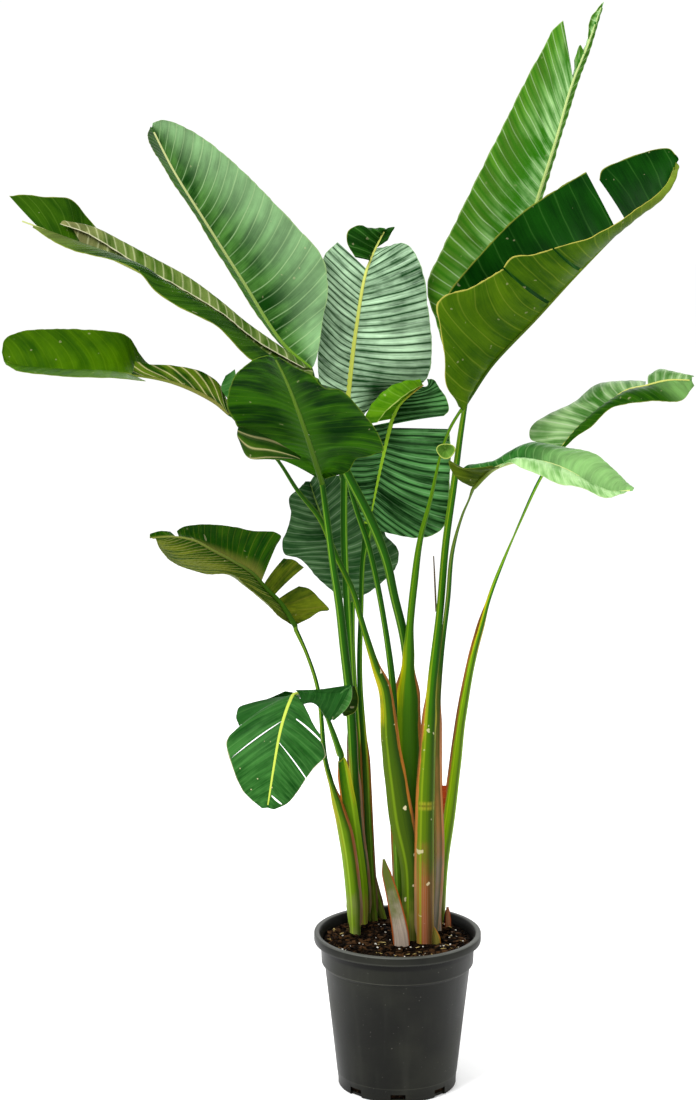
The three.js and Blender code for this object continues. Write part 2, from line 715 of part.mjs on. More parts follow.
// A closed sheet from a grid of points on its middle surface.
function sheet(grid) {
  const rows = grid.length;
  const columns = grid[0].length;
  const positions = [];
  const triangles = [];
  for (const face of [0.5, -0.5]) {
    for (let i = 0; i < rows; i++) {
      for (let j = 0; j < columns; j++) {
        const before = grid[Math.max(i - 1, 0)][j];
        const after = grid[Math.min(i + 1, rows - 1)][j];
        const inner = grid[i][Math.max(j - 1, 0)];
        const outer = grid[i][Math.min(j + 1, columns - 1)];
        const along = after.clone().sub(before);
        const normal = outer.clone().sub(inner).cross(along).normalize();
        const p = grid[i][j].clone().addScaledVector(normal, face * SHEET);
        positions.push(p.x, p.y, p.z);
      }
    }
  }
  const index = (layer, i, j) => layer * rows * columns + i * columns + j;
  const quad = (a, b, c, d) => triangles.push(a, b, c, a, c, d);
  for (let i = 0; i < rows - 1; i++) {
    for (let j = 0; j < columns - 1; j++) {
      const top = [index(0, i, j), index(0, i, j + 1), index(0, i + 1, j + 1), index(0, i + 1, j)];
      const under = top.map((v) => v + rows * columns);
      quad(...top);
      triangles.push(under[0], under[2], under[1], under[0], under[3], under[2]);
    }
  }
  for (let i = 0; i < rows - 1; i++) {
    quad(index(0, i, 0), index(0, i + 1, 0), index(1, i + 1, 0), index(1, i, 0));
    const j = columns - 1;
    quad(index(0, i + 1, j), index(0, i, j), index(1, i, j), index(1, i + 1, j));
  }
  for (let j = 0; j < columns - 1; j++) {
    quad(index(0, 0, j + 1), index(0, 0, j), index(1, 0, j), index(1, 0, j + 1));
    const i = rows - 1;
    quad(index(0, i, j), index(0, i, j + 1), index(1, i, j + 1), index(1, i, j));
  }
  return fromLists(positions, triangles);
}

// The middle surface of one lobe, as rows along the midrib and columns from midrib to edge.
function lobeGrid(leaf, lobe) {
  const rib = curve(leaf.rib);
  const edge = curve(lobe.edge);
  const crest = lobe.crest ? curve(lobe.crest) : null;
  const length = Math.max(edge.getLength(), rib.getLength() * (lobe.span[1] - lobe.span[0]));
  const rows = Math.max(3, Math.round(length / CELL_LENGTH) + 1);
  const across = lobe.crest ? CELLS_ACROSS + 2 : CELLS_ACROSS;
  const whole = lobe.span[1] - lobe.span[0] > 0.5;
  const grid = [];
  for (let i = 0; i < rows; i++) {
    const s = i / (rows - 1);
    const row = [];
    for (let j = 0; j <= across; j++) {
      const t = j / across;
      const sweep = whole && !crest ? VEIN_SWEEP * s * (1 - s) * t * t : 0;
      const share = s + sweep;
      const inner = rib.getPointAt(THREE.MathUtils.lerp(lobe.span[0], lobe.span[1], share));
      const outer = edge.getPointAt(share);
      const tangent = rib.getTangentAt(THREE.MathUtils.lerp(lobe.span[0], lobe.span[1], share));
      tangent.add(edge.getTangentAt(share).multiplyScalar(0.5)).normalize();
      const up = outer.clone().sub(inner).cross(tangent).normalize().multiplyScalar(lobe.side);
      const ends = Math.sqrt(Math.max(0, Math.sin(Math.PI * share)));
      const bulge = (lobe.arch || 0) * (whole ? ends : 1);
      const middle = crest
        ? crest.getPointAt(share)
        : inner.clone().lerp(outer, 0.5).addScaledVector(up, bulge);
      const point = inner.clone().multiplyScalar((1 - t) * (1 - 2 * t));
      point.addScaledVector(middle, 4 * t * (1 - t));
      point.addScaledVector(outer, t * (2 * t - 1));
      const wave = (lobe.wave || 0) * ends * t * t * Math.sin(2 * Math.PI * WAVES * share);
      row.push(point.addScaledVector(up, wave));
    }
    grid.push(lobe.side === RIGHT ? row : row.reverse());
  }
  return grid;
}

function leafGeometry(leaf, stations) {
  let joined = solid(tube(stations.map(section)));
  for (const lobe of leaf.lobes) {
    joined = joined.add(solid(sheet(lobeGrid(leaf, lobe))));
  }
  return geometryOf(largestBody(joined));
}

function sheathStations(line) {
  const path = curve(line);
  const stations = [];
  for (let i = 0; i <= SHEATH_STEPS; i++) {
    const u = i / SHEATH_STEPS;
    const place = u * (line.length - 1);
    const low = Math.min(Math.floor(place), line.length - 2);
    const width = THREE.MathUtils.lerp(line[low][3], line[low + 1][3], place - low);
    const thickness = Math.max(width * SHEATH_DEPTH, SHEATH_THINNEST);
    const tangent = path.getTangent(u);
    const face = new THREE.Vector3(0, 1, 0);
    const across = face.clone().cross(tangent).normalize();
    face.crossVectors(tangent, across).normalize();
    stations.push({ centre: path.getPoint(u), across, face, width, thickness, groove: GROOVE });
  }
  return stations;
}

function potGeometry() {
  const body = COLLAR_BOTTOM - 4;
  const slope = (height) =>
    THREE.MathUtils.lerp(FOOT_RADIUS, BODY_TOP_RADIUS, (height - FOOT_RING) / (body - FOOT_RING));
  const top = POT_HEIGHT;
  const profile = [
    [0, 0],
    [FOOT_RADIUS - 3, 0],
    [FOOT_RADIUS - 1, 2],
    [FOOT_RADIUS, FOOT_RING],
    [FOOT_RADIUS + 1, FOOT_RING + 2],
    [slope(body), body],
    [COLLAR_RADIUS, COLLAR_BOTTOM],
    [COLLAR_RADIUS + 1.5, top - RIM_BAND - 1],
    [RIM_RADIUS - RIM_LIP, top - RIM_BAND],
    [RIM_RADIUS, top - RIM_BAND + RIM_LIP],
    [RIM_RADIUS, top - RIM_LIP],
    [RIM_RADIUS - RIM_LIP, top],
    [RIM_RADIUS - 8, top],
    [COLLAR_RADIUS + 1.5 - WALL, top - 6],
    [COLLAR_RADIUS - WALL, COLLAR_BOTTOM + 2],
    [slope(body) - WALL, body - 2],
    [FOOT_RADIUS - WALL, FLOOR],
    [0, FLOOR],
  ].map(([r, z]) => new THREE.Vector2(r, z));
  const lathe = new THREE.LatheGeometry(profile, POT_SIDES);
  lathe.rotateX(Math.PI / 2);
  let pot = solid(lathe);
  for (let k = 0; k < NOTCHES; k++) {
    const notch = new THREE.BoxGeometry(NOTCH_WIDTH, NOTCH_DEPTH, NOTCH_HEIGHT * 2);
    notch.translate(0, -FOOT_RADIUS, 0);
    notch.rotateZ((2 * Math.PI * k) / NOTCHES);
    pot = pot.subtract(solid(notch));
  }
  return { pot: geometryOf(pot), slope };
}

// The mix fills the pot to SOIL_TOP, with a plain hole round each foot.
function soilGeometry(slope, feet) {
  const gap = CLEARANCE;
  const lump = (x, y) =>
    SOIL_MOUND * (Math.sin(x / 19 + 1) * Math.cos(y / 23) + 0.5 * Math.sin((x + y) / 11));
  const body = COLLAR_BOTTOM - 4;
  const wall = (z) => (z < body ? slope(z) - WALL : COLLAR_RADIUS - WALL) - 1;
  const outline = [
    [FOOT_RADIUS - WALL - 1, FLOOR + gap],
    [wall(body - 4) - 1, body - 6],
    [COLLAR_RADIUS - WALL - 1, COLLAR_BOTTOM + 4],
    [COLLAR_RADIUS - WALL - 1, SOIL_TOP],
  ].map(([r, z]) => new THREE.Vector2(r, z));
  const surface = [];
  for (let i = SOIL_RINGS - 1; i >= 0; i--) {
    surface.push(new THREE.Vector2((outline[3].x * i) / SOIL_RINGS, SOIL_TOP));
  }
  const profile = [new THREE.Vector2(0, FLOOR + gap), ...outline, ...surface];
  const lathe = new THREE.LatheGeometry(profile, SOIL_SIDES);
  lathe.rotateX(Math.PI / 2);
  const place = lathe.attributes.position;
  for (let i = 0; i < place.count; i++) {
    if (place.getZ(i) < SOIL_TOP - 1) continue;
    const x = place.getX(i);
    const y = place.getY(i);
    const fade = smoothstep((COLLAR_RADIUS - WALL - 1 - Math.hypot(x, y)) / 20);
    place.setZ(i, SOIL_TOP + lump(x, y) * fade);
  }
  let soil = solid(lathe);
  for (const foot of feet) soil = soil.subtract(solid(foot));
  return geometryOf(soil);
}

// The hole for one foot: the foot's own stations, a little larger, from under its end up out of the mix.
function footHole(stations) {
  const out = stations.findIndex(({ centre }) => centre.z > SOIL_TOP + 2 * SOIL_MOUND);
  const sunk = stations.slice(0, out + 1).map((station) => ({
    ...station,
    width: station.width + 2 * CLEARANCE,
    thickness: station.thickness + 2 * CLEARANCE,
    groove: 0,
  }));
  sunk[0].centre = sunk[0].centre.clone();
  sunk[0].centre.z -= CLEARANCE;
  return tube(sunk.map(section));
}

function mesh(name, geometry, colour, roughness) {
  const material = new THREE.MeshStandardMaterial({ color: colour, roughness, metalness: 0 });
  const made = new THREE.Mesh(geometry, material);
  made.name = name;
  return made;
}

const plant = new THREE.Group();
const { pot, slope } = potGeometry();
plant.add(mesh("pot", pot, "#2b2c28", 0.55));
const holes = [];
for (const [name, leaf] of Object.entries(LEAVES)) {
  const stalk = stalkStations(leaf);
  plant.add(mesh("leaf_" + name, leafGeometry(leaf, [...stalk, ...ribStations(leaf)]), "#2f6b1c", 0.4));
  holes.push(footHole(stalk));
}
for (const [name, sheath] of Object.entries(SHEATHS)) {
  const stations = sheathStations(sheath.line);
  plant.add(mesh(name, tube(stations.map(section)), sheath.colour, 0.7));
  holes.push(footHole(stations));
}
plant.add(mesh("soil", soilGeometry(slope, holes), "#2a1c12", 0.95));

export default plant;
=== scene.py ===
# A tall bird of paradise plant in a nursery pot: finished surfaces over the imported solids.
# Metres, +Z up, -Y to the front. The leaf points are in millimetres. They were picked on the
# photograph, with guessed depths, and converted through the camera's place, tilt and lens.
import math
import random

import bmesh
import bpy
import numpy as np
from mathutils import Matrix, Vector


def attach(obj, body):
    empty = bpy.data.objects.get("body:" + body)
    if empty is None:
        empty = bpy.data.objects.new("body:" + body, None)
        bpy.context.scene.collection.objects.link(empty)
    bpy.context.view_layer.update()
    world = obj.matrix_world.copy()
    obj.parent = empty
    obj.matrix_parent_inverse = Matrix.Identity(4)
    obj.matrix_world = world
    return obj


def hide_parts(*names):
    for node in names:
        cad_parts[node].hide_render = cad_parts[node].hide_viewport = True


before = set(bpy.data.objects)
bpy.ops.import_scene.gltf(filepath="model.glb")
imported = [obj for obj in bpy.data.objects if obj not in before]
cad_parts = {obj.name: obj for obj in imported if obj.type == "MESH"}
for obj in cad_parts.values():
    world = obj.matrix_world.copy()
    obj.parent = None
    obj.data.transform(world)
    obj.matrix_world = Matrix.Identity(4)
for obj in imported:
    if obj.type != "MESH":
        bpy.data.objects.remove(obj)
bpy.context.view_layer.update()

MM = 0.001
LEFT, RIGHT = -1, 1
TURN = 2 * math.pi

# Blades
BLADE_THICKNESS = 0.9 * MM
ROW_STEP = 2.2 * MM
COLUMN_STEP = 4.5 * MM
VEIN_SWEEP = 0.28
WAVES = 3.2
RAGGED_EDGE = 0.012
RAGGED_LENGTH = 12 * MM
RUFFLE = 1 * MM
RUFFLE_LENGTH = 18 * MM
SLIT_ROWS = 8
TORN_EDGE = 0.985  # the sides of a slit have the margin's colour

# Stalks and midribs. A length without MM is in millimetres, as the leaf points are.
FOOT_LEVEL = 228
RIB_WIDTH = 9
RIB_TIP_WIDTH = 2.6
RIB_RISE = 2.6
RIB_STEP = 5
RIB_DEPTH = 0.85
RIB_GROOVE = 0.16
RIB_END = 0.985
RIB_MIDDLE = (0.12, 0.88)
STALK_STEP = 7
STALK_SIDES = 24
STALK_FLATNESS = 0.62
STALK_THICKEST = 13
STALK_GROOVE = 0.34
TURN_START = 0.55
LIP = 5
LIP_START = 0.93
LIP_UNIT = 4 * MM
LIP_FADE = 50 * MM
LIP_FOOT = 250 * MM
LIP_FOOT_FADE = 20 * MM

# Old sheaths and torn bits
SHEATH_GROOVE = 0.42
SHEATH_FLATNESS = 0.36
SHEATH_THINNEST = 2 * MM
SHEATH_LIP = 1.6 * MM
STRIP_STEP = 3
STRIP_COLUMNS = 9

# Pot, as in the solids, in millimetres
POT_HEIGHT = 255
RIM_RADIUS = 135
RIM_BAND = 15
COLLAR_RADIUS = 123
COLLAR_BOTTOM = 205
BODY_TOP = COLLAR_BOTTOM - 4
BODY_TOP_RADIUS = 118
FOOT_RADIUS = 97
FOOT_RING = 20
WALL = 3
POT_SIDES = 160
NOTCHES = 8
NOTCH_SIZE = (24, 12, 26)

# Potting mix. Its wall is the radius and the height of each edge under its top.
SOIL_TOP = 240 * MM
SOIL_RADIUS = 118.6 * MM
SOIL_MOUND = 3 * MM
SOIL_SINK = 0.4 * MM
SOIL_RINGS, SOIL_SPOKES = 46, 150
SOIL_LUMPS = 26
SOIL_WALL = ((118 * MM, 209 * MM), (112.5 * MM, 195 * MM), (92.5 * MM, 6 * MM), (0.2 * MM, 5.5 * MM))

# Studio
STUDIO_LIGHT = 0.68
WORLD_LIGHT = 1.03
FLOOR_SIZE = 40
FLOOR_LEVEL = -0.5 * MM
FLOOR_WHITE = 0.985
CAMERA_PLACE = (-0.080, -4.0, 1.6)
CAMERA_TILT = math.radians(79.8)
LENS, SENSOR = 84.5, 36
SOFTBOXES = {
    "key_light": dict(place=(-2.2, -2.4, 3.6), aim=(0, 0, 1.0), size=(1.6, 1.6), power=190),
    "fill_light": dict(place=(2.8, -2.4, 1.6), aim=(0, 0, 1.0), size=(2.0, 2.6), power=30),
    "back_light": dict(place=(0.6, 2.8, 2.6), aim=(0, 0, 1.2), size=(2.6, 1.6), power=50),
}


# ---------------------------------------------------------------- camera, lights and floor


def add_camera():
    data = bpy.data.cameras.new("camera")
    data.lens = LENS
    data.sensor_width = SENSOR
    camera = bpy.data.objects.new("camera", data)
    camera.location = CAMERA_PLACE
    camera.rotation_euler = (CAMERA_TILT, 0, 0)
    bpy.context.scene.collection.objects.link(camera)
    bpy.context.scene.camera = camera


def add_softbox(name, place, aim, size, power):
    data = bpy.data.lights.new(name, "AREA")
    data.shape = "RECTANGLE"
    data.size, data.size_y = size
    data.energy = power
    box = bpy.data.objects.new(name, data)
    box.location = place
    box.rotation_euler = (Vector(aim) - Vector(place)).to_track_quat("-Z", "Y").to_euler()
    bpy.context.scene.collection.objects.link(box)


def add_studio():
    for name, box in SOFTBOXES.items():
        add_softbox(name, **box)
    world = bpy.data.worlds.new("studio")
    bpy.context.scene.world = world
    world.use_nodes = True
    sky = world.node_tree.nodes["Background"].inputs
    sky["Color"].default_value = (1, 1, 1, 1)
    sky["Strength"].default_value = WORLD_LIGHT
    bpy.context.scene.view_settings.view_transform = "Standard"


def add_floor():
    bpy.ops.mesh.primitive_plane_add(size=FLOOR_SIZE, location=(0, 0, FLOOR_LEVEL))
    floor = bpy.context.object
    floor.name = "floor"
    pale = Recipe("pale_floor", 0.9, 0.0)
    pale.sockets["Base Color"].default_value = (FLOOR_WHITE, FLOOR_WHITE, FLOOR_WHITE, 1)
    floor.data.materials.append(pale.matter)


# ---------------------------------------------------------------- finishes


def paint(colour, shade=1, lift=0):
    """A colour as it looks in this studio's light, 0 to 255, as a shader's colour."""
    def linear(value):
        share = (value * shade + lift) / 255
        return STUDIO_LIGHT * (share / 12.92 if share <= 0.04045 else ((share + 0.055) / 1.055) ** 2.4)
    return (*(linear(value) for value in colour), 1)


class Recipe:
    """One finish, with short words for its nodes."""

    def __init__(self, name, roughness, specular):
        self.matter = bpy.data.materials.new(name)
        self.matter.use_nodes = True
        self.tree = self.matter.node_tree
        self.sockets = self.tree.nodes["Principled BSDF"].inputs
        self.sockets["Roughness"].default_value = roughness
        self.sockets["Specular IOR Level"].default_value = specular

    def feed(self, socket, value):
        if isinstance(value, bpy.types.NodeSocket):
            self.tree.links.new(value, socket)
        else:
            socket.default_value = value

    def put(self, kind, *values, **settings):
        """A node with its settings, and a number or a link for each of its first inputs."""
        made = self.tree.nodes.new("ShaderNode" + kind)
        for key, setting in settings.items():
            setattr(made, key, setting)
        for socket, value in zip(made.inputs, values):
            self.feed(socket, value)
        return made

    def sum(self, operation, first, second=0.0, third=0.0, clamp=False):
        return self.put("Math", first, second, third, operation=operation, use_clamp=clamp).outputs[0]

    def times(self, first, second, clamp=False):
        return self.sum("MULTIPLY", first, second, clamp=clamp)

    def shifted(self, value, cloud, amount, clamp=False):
        """A value that a cloud pushes up and down, by half the amount at most."""
        return self.sum("MULTIPLY_ADD", self.sum("SUBTRACT", cloud, 0.5), amount, value, clamp)

    def far_from(self, value, level):
        return self.sum("ABSOLUTE", self.sum("SUBTRACT", value, level))

    def join(self, x, y, z):
        return self.put("CombineXYZ", x, y, z).outputs[0]

    def split(self, vector):
        return self.put("SeparateXYZ", vector).outputs

    def cloud(self, place, scale=1.0, detail=2.0, rough=0.5):
        made = self.put("TexNoise", place)
        made.inputs["Scale"].default_value = scale
        made.inputs["Detail"].default_value = detail
        made.inputs["Roughness"].default_value = rough
        return made.outputs["Fac"]

    def fibres(self, along, across, long, wide, detail, seed=0.0, rough=0.5):
        """A cloud in the plant's own coordinates, drawn out along one of them."""
        place = self.join(self.times(along, long), self.times(across, wide), seed)
        return self.cloud(place, 1, detail, rough)

    def ramp(self, value, low, high, start=0.0, end=1.0):
        made = self.put("MapRange", value, low, high, start, end, interpolation_type="SMOOTHSTEP")
        return made.outputs[0]

    def blend(self, share, first, second):
        made = self.put("Mix", data_type="RGBA")
        self.feed(made.inputs["Factor"], share)
        self.feed(made.inputs[6], first)
        self.feed(made.inputs[7], second)
        return made.outputs[2]

    def place(self):
        return self.put("TexCoord").outputs["Object"]

    def grown(self):
        """The plant's own coordinates: metres along, share across, and the lobe, lip or midrib share."""
        return self.split(self.put("Attribute", attribute_name="grown").outputs["Vector"])

    def finished(self, colour, height, strength, depth, roughness=None):
        """Gives the shader its colour and fine relief, and gives back the material."""
        self.feed(self.sockets["Base Color"], colour)
        bump = self.put("Bump")
        self.feed(bump.inputs["Height"], height)
        bump.inputs["Strength"].default_value = strength
        bump.inputs["Distance"].default_value = depth
        self.feed(self.sockets["Normal"], bump.outputs[0])
        if roughness is not None:
            self.feed(self.sockets["Roughness"], roughness)
        return self.matter


def side_veins(mix, along, across, lobe, spacing, slant):
    """Crests of the side veins, broad bands and fine lines, which all run out from the midrib."""
    seed = mix.times(lobe, 5.31)
    band_length, bend_length, fine_length = spacing * 1.4 * MM, 50 * MM, 2.1 * MM
    place = mix.sum("MULTIPLY_ADD", across, slant, along)
    bend = mix.fibres(place, across, 1 / bend_length, 0.9, 2, seed)
    phase = mix.sum("MULTIPLY_ADD", place, TURN / (spacing * MM), mix.times(bend, 5))
    crest = mix.sum("MULTIPLY_ADD", mix.sum("SINE", phase), 0.5, 0.5)
    broad = mix.fibres(place, across, 1 / band_length, 1.1, 2, seed)
    fine = mix.fibres(place, across, 1 / fine_length, 2.2, 3, seed, 0.65)
    return crest, broad, fine


def blade_finish(name, dark, light, vein, outer=None, inner=None, far=None, spacing=11, slant=0.0, bands=0.5,
                 lines=0.5, thin=40, groove=0.0, sharp=4.0, fine_lines=0.5, patches=0.7,
                 margin=(150, 160, 60), specks=0.25, roughness=0.45):
    """A leaf blade: bands and side veins that run from midrib to margin."""
    mix = Recipe("blade_" + name, roughness, 0.03)
    along, across, lobe = mix.grown()
    crest, broad, fine = side_veins(mix, along, across, lobe, spacing, slant)
    patch = mix.cloud(mix.place(), 13, 4, 0.6)
    tone = mix.sum("MULTIPLY_ADD", mix.ramp(broad, 0.36, 0.64), bands, (1 - bands) * 0.5)
    tone = mix.shifted(tone, fine, fine_lines * 2)
    tone = mix.shifted(tone, patch, patches * 1.6, clamp=True)
    colour = mix.blend(tone, paint(dark), paint(light))
    if outer:
        rim = mix.blend(tone, paint(outer, 0.78), paint(outer))
        colour = mix.blend(mix.ramp(across, 0.1, 0.9), colour, rim)
    if far:
        hue, start, end = far
        tip = mix.blend(tone, paint(hue, 0.75), paint(hue))
        colour = mix.blend(mix.ramp(along, start * MM, end * MM), colour, tip)
    if inner:
        colour = mix.blend(mix.ramp(across, 0.4, 0.0, 0.0, 0.85), colour, paint(inner))
    # Painted shade in the valleys between the side veins, as strong as groove.
    if groove:
        valley_shade = mix.sum("POWER", mix.sum("SUBTRACT", 1.0, crest), sharp)
        valley_shade = mix.times(valley_shade, mix.ramp(broad, 0.25, 0.5, 0.55, 1.0))
        colour = mix.blend(mix.times(valley_shade, groove, clamp=True), colour, paint(dark))
    line = mix.times(mix.sum("POWER", crest, thin), mix.ramp(broad, 0.3, 0.6, 0.4, 1.0))
    colour = mix.blend(mix.times(line, lines, clamp=True), colour, paint(vein))
    scar = mix.ramp(mix.cloud(mix.place(), 95, 1), 0.745, 0.77, 0.0, specks)
    colour = mix.blend(scar, colour, paint((214, 205, 160)))
    colour = mix.blend(mix.ramp(across, 0.975, 0.992, 0.0, 0.75), colour, paint(margin))
    gloss = mix.sum("MULTIPLY_ADD", fine, 0.16, roughness - 0.08)
    height = mix.sum("MULTIPLY_ADD", crest, 0.6, mix.times(fine, 0.6))
    return mix.finished(colour, height, 0.5, 0.8 * MM, gloss)


def stalk_ring(mix, colour, along, streak, level):
    """A worn ring round a stalk at a level, pale with a dark line in it."""
    near = mix.far_from(along, level)
    worn = mix.ramp(streak, 0.3, 0.7, 0.1, 0.7)
    for reach, solid, hue in ((9 * MM, 4 * MM, (166, 158, 40)), (2.5 * MM, 1 * MM, (80, 70, 10))):
        colour = mix.blend(mix.times(mix.ramp(near, reach, solid), worn), colour, paint(hue))
    return colour


def dry_margin(mix, colour, border, on_sheath, mottled, streak, margin, width):
    """The brown dry margin of a sheath, bleached at its foot."""
    husk = mix.blend(mix.ramp(streak, 0.35, 0.65), paint(margin), paint(margin, 0.55))
    husk = mix.blend(mix.ramp(mottled, 0.16, 0.02, 0.0, 0.6), husk, paint((158, 140, 112)))
    border = mix.ramp(border, 1 - width * 1.1, 1 - width * 0.6)
    return mix.blend(mix.times(on_sheath, border), colour, husk)


def stalk_finish(name, sheath_top, foot=(112, 118, 28), low=(74, 116, 2), high=(34, 92, 2), dark=(8, 44, 0),
                 light=(128, 172, 50), edge=(190, 180, 30), margin=(150, 100, 36), dry_side=0,
                 foot_top=0.09, dry_width=0.12, ring=None, scars=0.0):
    """A leaf stalk: bleached at the foot, green above, with painted light along its left, painted shade along
    its right, painted highlights on its edges and a dry sheath margin.
    """
    mix = Recipe("stalk_" + name, 0.4, 0.06)
    along, across, lip = mix.grown()
    wide = mix.sum("ABSOLUTE", across)
    on_sheath = mix.ramp(lip, 0.1, 0.4)
    streak = mix.fibres(along, across, 5, 7, 3)
    patch = mix.cloud(mix.place(), 26, 3)
    mottled = mix.shifted(mix.shifted(along, patch, 0.16), streak, 0.16)
    colour = mix.blend(mix.ramp(mottled, sheath_top * 0.5, sheath_top * 1.15), paint(low), paint(high))
    bleached = mix.blend(mix.ramp(streak, 0.42, 0.62), paint(foot), paint(foot, 0.75, 46))
    colour = mix.blend(mix.ramp(mottled, foot_top, foot_top * 0.3), colour, bleached)
    # Painted light: the left side is painted lit, and the lit colour turns to the edge yellow near the sheath
    # top.
    side = mix.shifted(mix.times(across, LEFT), streak, 0.7)
    collar = mix.times(mix.ramp(mottled, sheath_top - 0.13, sheath_top - 0.03),
                       mix.ramp(along, sheath_top + 0.05, sheath_top - 0.01))
    lit = mix.blend(collar, mix.blend(0.4, colour, paint(light)), paint(edge))
    colour = mix.blend(mix.ramp(side, 0.1, 0.95, 0.0, 0.8), colour, lit)
    # Painted shade along the right side.
    colour = mix.blend(mix.ramp(side, 0.05, -0.75, 0.0, 0.85), colour, mix.blend(0.8, colour, paint(dark)))
    # Painted highlights along both edges of the stalk.
    colour = mix.blend(mix.ramp(wide, 0.9, 0.985, 0.0, 0.6), colour, lit)
    # Painted highlight: a thin bright line down the lit side.
    highlight_line = mix.sum("ABSOLUTE", mix.sum("MULTIPLY_ADD", across, LEFT, -0.5))
    colour = mix.blend(mix.ramp(highlight_line, 0.2, 0.04, 0.0, 0.55), colour, paint(light, 1.12))
    if ring:
        colour = stalk_ring(mix, colour, along, streak, ring * MM)
    if scars:
        scar = mix.ramp(mix.cloud(mix.place(), 55, 2), 0.68, 0.71, 0.0, scars)
        colour = mix.blend(mix.times(scar, on_sheath), colour, paint((226, 214, 170)))
    border = mix.shifted(mix.times(across, dry_side) if dry_side else wide, patch, dry_width * 1.6)
    colour = dry_margin(mix, colour, border, on_sheath, mottled, streak, margin, dry_width)
    gloss = mix.sum("MULTIPLY_ADD", streak, 0.25, 0.3)
    return mix.finished(colour, mix.fibres(along, across, 30, 24, 2, 1.0), 0.3, 0.6 * MM, gloss)


def rib_finish(name, base, tip, low=0.0, high=0.9):
    """A midrib: one colour at its base and another at its tip, with faint green streaks."""
    mix = Recipe("rib_" + name, 0.42, 0.05)
    along, across, share = mix.grown()
    streak = mix.fibres(along, across, 9, 8, 2)
    colour = mix.blend(mix.ramp(share, low - 1, high - 1), paint(base), paint(tip))
    green = mix.blend(0.5, colour, paint((40, 90, 10)))
    colour = mix.blend(mix.ramp(streak, 0.35, 0.7, 0.0, 0.35), colour, green)
    return mix.finished(colour, streak, 0.2, 0.5 * MM)


def sheath_finish(name, foot, tip, edge):
    """An old leaf base: bleached at the foot, with dry brown edges and long fibres."""
    mix = Recipe("sheath_" + name, 0.6, 0.04)
    along, across, _ = mix.grown()
    streak = mix.fibres(along, across, 14, 16, 4)
    high = mix.shifted(along, mix.cloud(mix.place(), 60, 3), 0.09)
    colour = mix.blend(mix.ramp(high, 0.02, 0.12), paint(foot), paint(tip))
    colour = mix.blend(mix.ramp(streak, 0.4, 0.7, 0.0, 0.7), colour, paint(foot, 0.5))
    colour = mix.blend(mix.ramp(mix.sum("ABSOLUTE", across), 0.84, 0.94), colour, paint(edge))
    return mix.finished(colour, streak, 0.5, 1 * MM)


# Painted shadow in dark lines under the rim and the collar, and painted highlights in pale lines on the rim's
# top and lower edges, the collar's lower edge and the foot ring: height, reach, colour and strength. The
# height and the reach are in millimetres.
POT_SHADOW_AND_HIGHLIGHT = (
    (POT_HEIGHT - RIM_BAND - 0.4, 1.6, (3, 3, 2), 0.9),
    (COLLAR_BOTTOM - 0.9, 1.1, (4, 4, 3), 0.8),
    (COLLAR_BOTTOM + 1.1, 1.0, (84, 85, 76), 0.5),
    (FOOT_RING + 2.2, 1.0, (70, 71, 62), 0.4),
    (POT_HEIGHT - RIM_BAND + 2.4, 1.2, (74, 75, 70), 0.5),
    (POT_HEIGHT - 0.8, 1.6, (112, 114, 108), 0.6),
)


def pot_finish():
    """Black moulded plastic, grey with dust, with painted shadow under its steps, painted highlights along
    its rim and steps, and painted shade inside the rim.
    """
    mix = Recipe("black_plastic", 0.45, 0.12)
    spot = mix.place()
    x, y, height = mix.split(spot)
    dust = mix.cloud(spot, 9, 4)
    stretched = mix.put("Mapping", spot)
    stretched.inputs["Scale"].default_value = (38, 38, 3)
    drip = mix.cloud(stretched.outputs[0], 1, 3)
    colour = mix.blend(mix.ramp(dust, 0.38, 0.72), paint((20, 21, 17)), paint((36, 37, 30)))
    colour = mix.blend(mix.ramp(drip, 0.5, 0.75, 0.0, 0.14), colour, paint((66, 67, 60)))
    dusty = mix.ramp(dust, 0.25, 0.6, 0.4, 1.0)
    # Each band is painted shadow or painted highlight, broken up by the dust.
    for level, reach, hue, most in POT_SHADOW_AND_HIGHLIGHT:
        band = mix.ramp(mix.far_from(height, level * MM), reach * MM, reach * 0.3 * MM, 0.0, most)
        colour = mix.blend(mix.times(band, dusty), colour, paint(hue))
    fleck = mix.ramp(mix.cloud(spot, 260, 1), 0.75, 0.79, 0.0, 0.35)
    colour = mix.blend(fleck, colour, paint((120, 118, 108)))
    # Painted shade: the inside of the pot below the rim is darkened to near black.
    radius = mix.put("VectorMath", mix.join(x, y, 0.0), operation="LENGTH").outputs["Value"]
    inside = mix.times(mix.ramp(radius, (RIM_RADIUS - 7) * MM, (RIM_RADIUS - 10) * MM),
                       mix.ramp(height, (COLLAR_BOTTOM + 22) * MM, (COLLAR_BOTTOM + 26) * MM))
    colour = mix.blend(mix.times(inside, 0.9), colour, paint((10, 10, 8)))
    gloss = mix.ramp(dust, 0.3, 0.8, 0.38, 0.55)
    return mix.finished(colour, mix.cloud(spot, 1400, 2), 0.18, 0.3 * MM, gloss)


def soil_finish():
    """Dark peat and bark mix."""
    mix = Recipe("peat", 0.92, 0.02)
    spot = mix.place()
    grit = mix.cloud(spot, 520, 3)
    colour = mix.blend(mix.ramp(mix.cloud(spot, 90, 4), 0.35, 0.7), paint((2, 1, 1)), paint((30, 20, 10)))
    colour = mix.blend(mix.ramp(grit, 0.58, 0.75, 0.0, 0.7), colour, paint((104, 76, 48)))
    return mix.finished(colour, grit, 0.9, 2 * MM)


def crumb_finish(name, dark, light):
    """Bark, crumbs, grit or straw, each between a dark and a light tone."""
    mix = Recipe(name, 0.85, 0.03)
    spot = mix.place()
    colour = mix.blend(mix.ramp(mix.cloud(spot, 120, 3), 0.35, 0.65), paint(dark), paint(light))
    return mix.finished(colour, mix.cloud(spot, 900, 2), 0.6, 0.6 * MM)


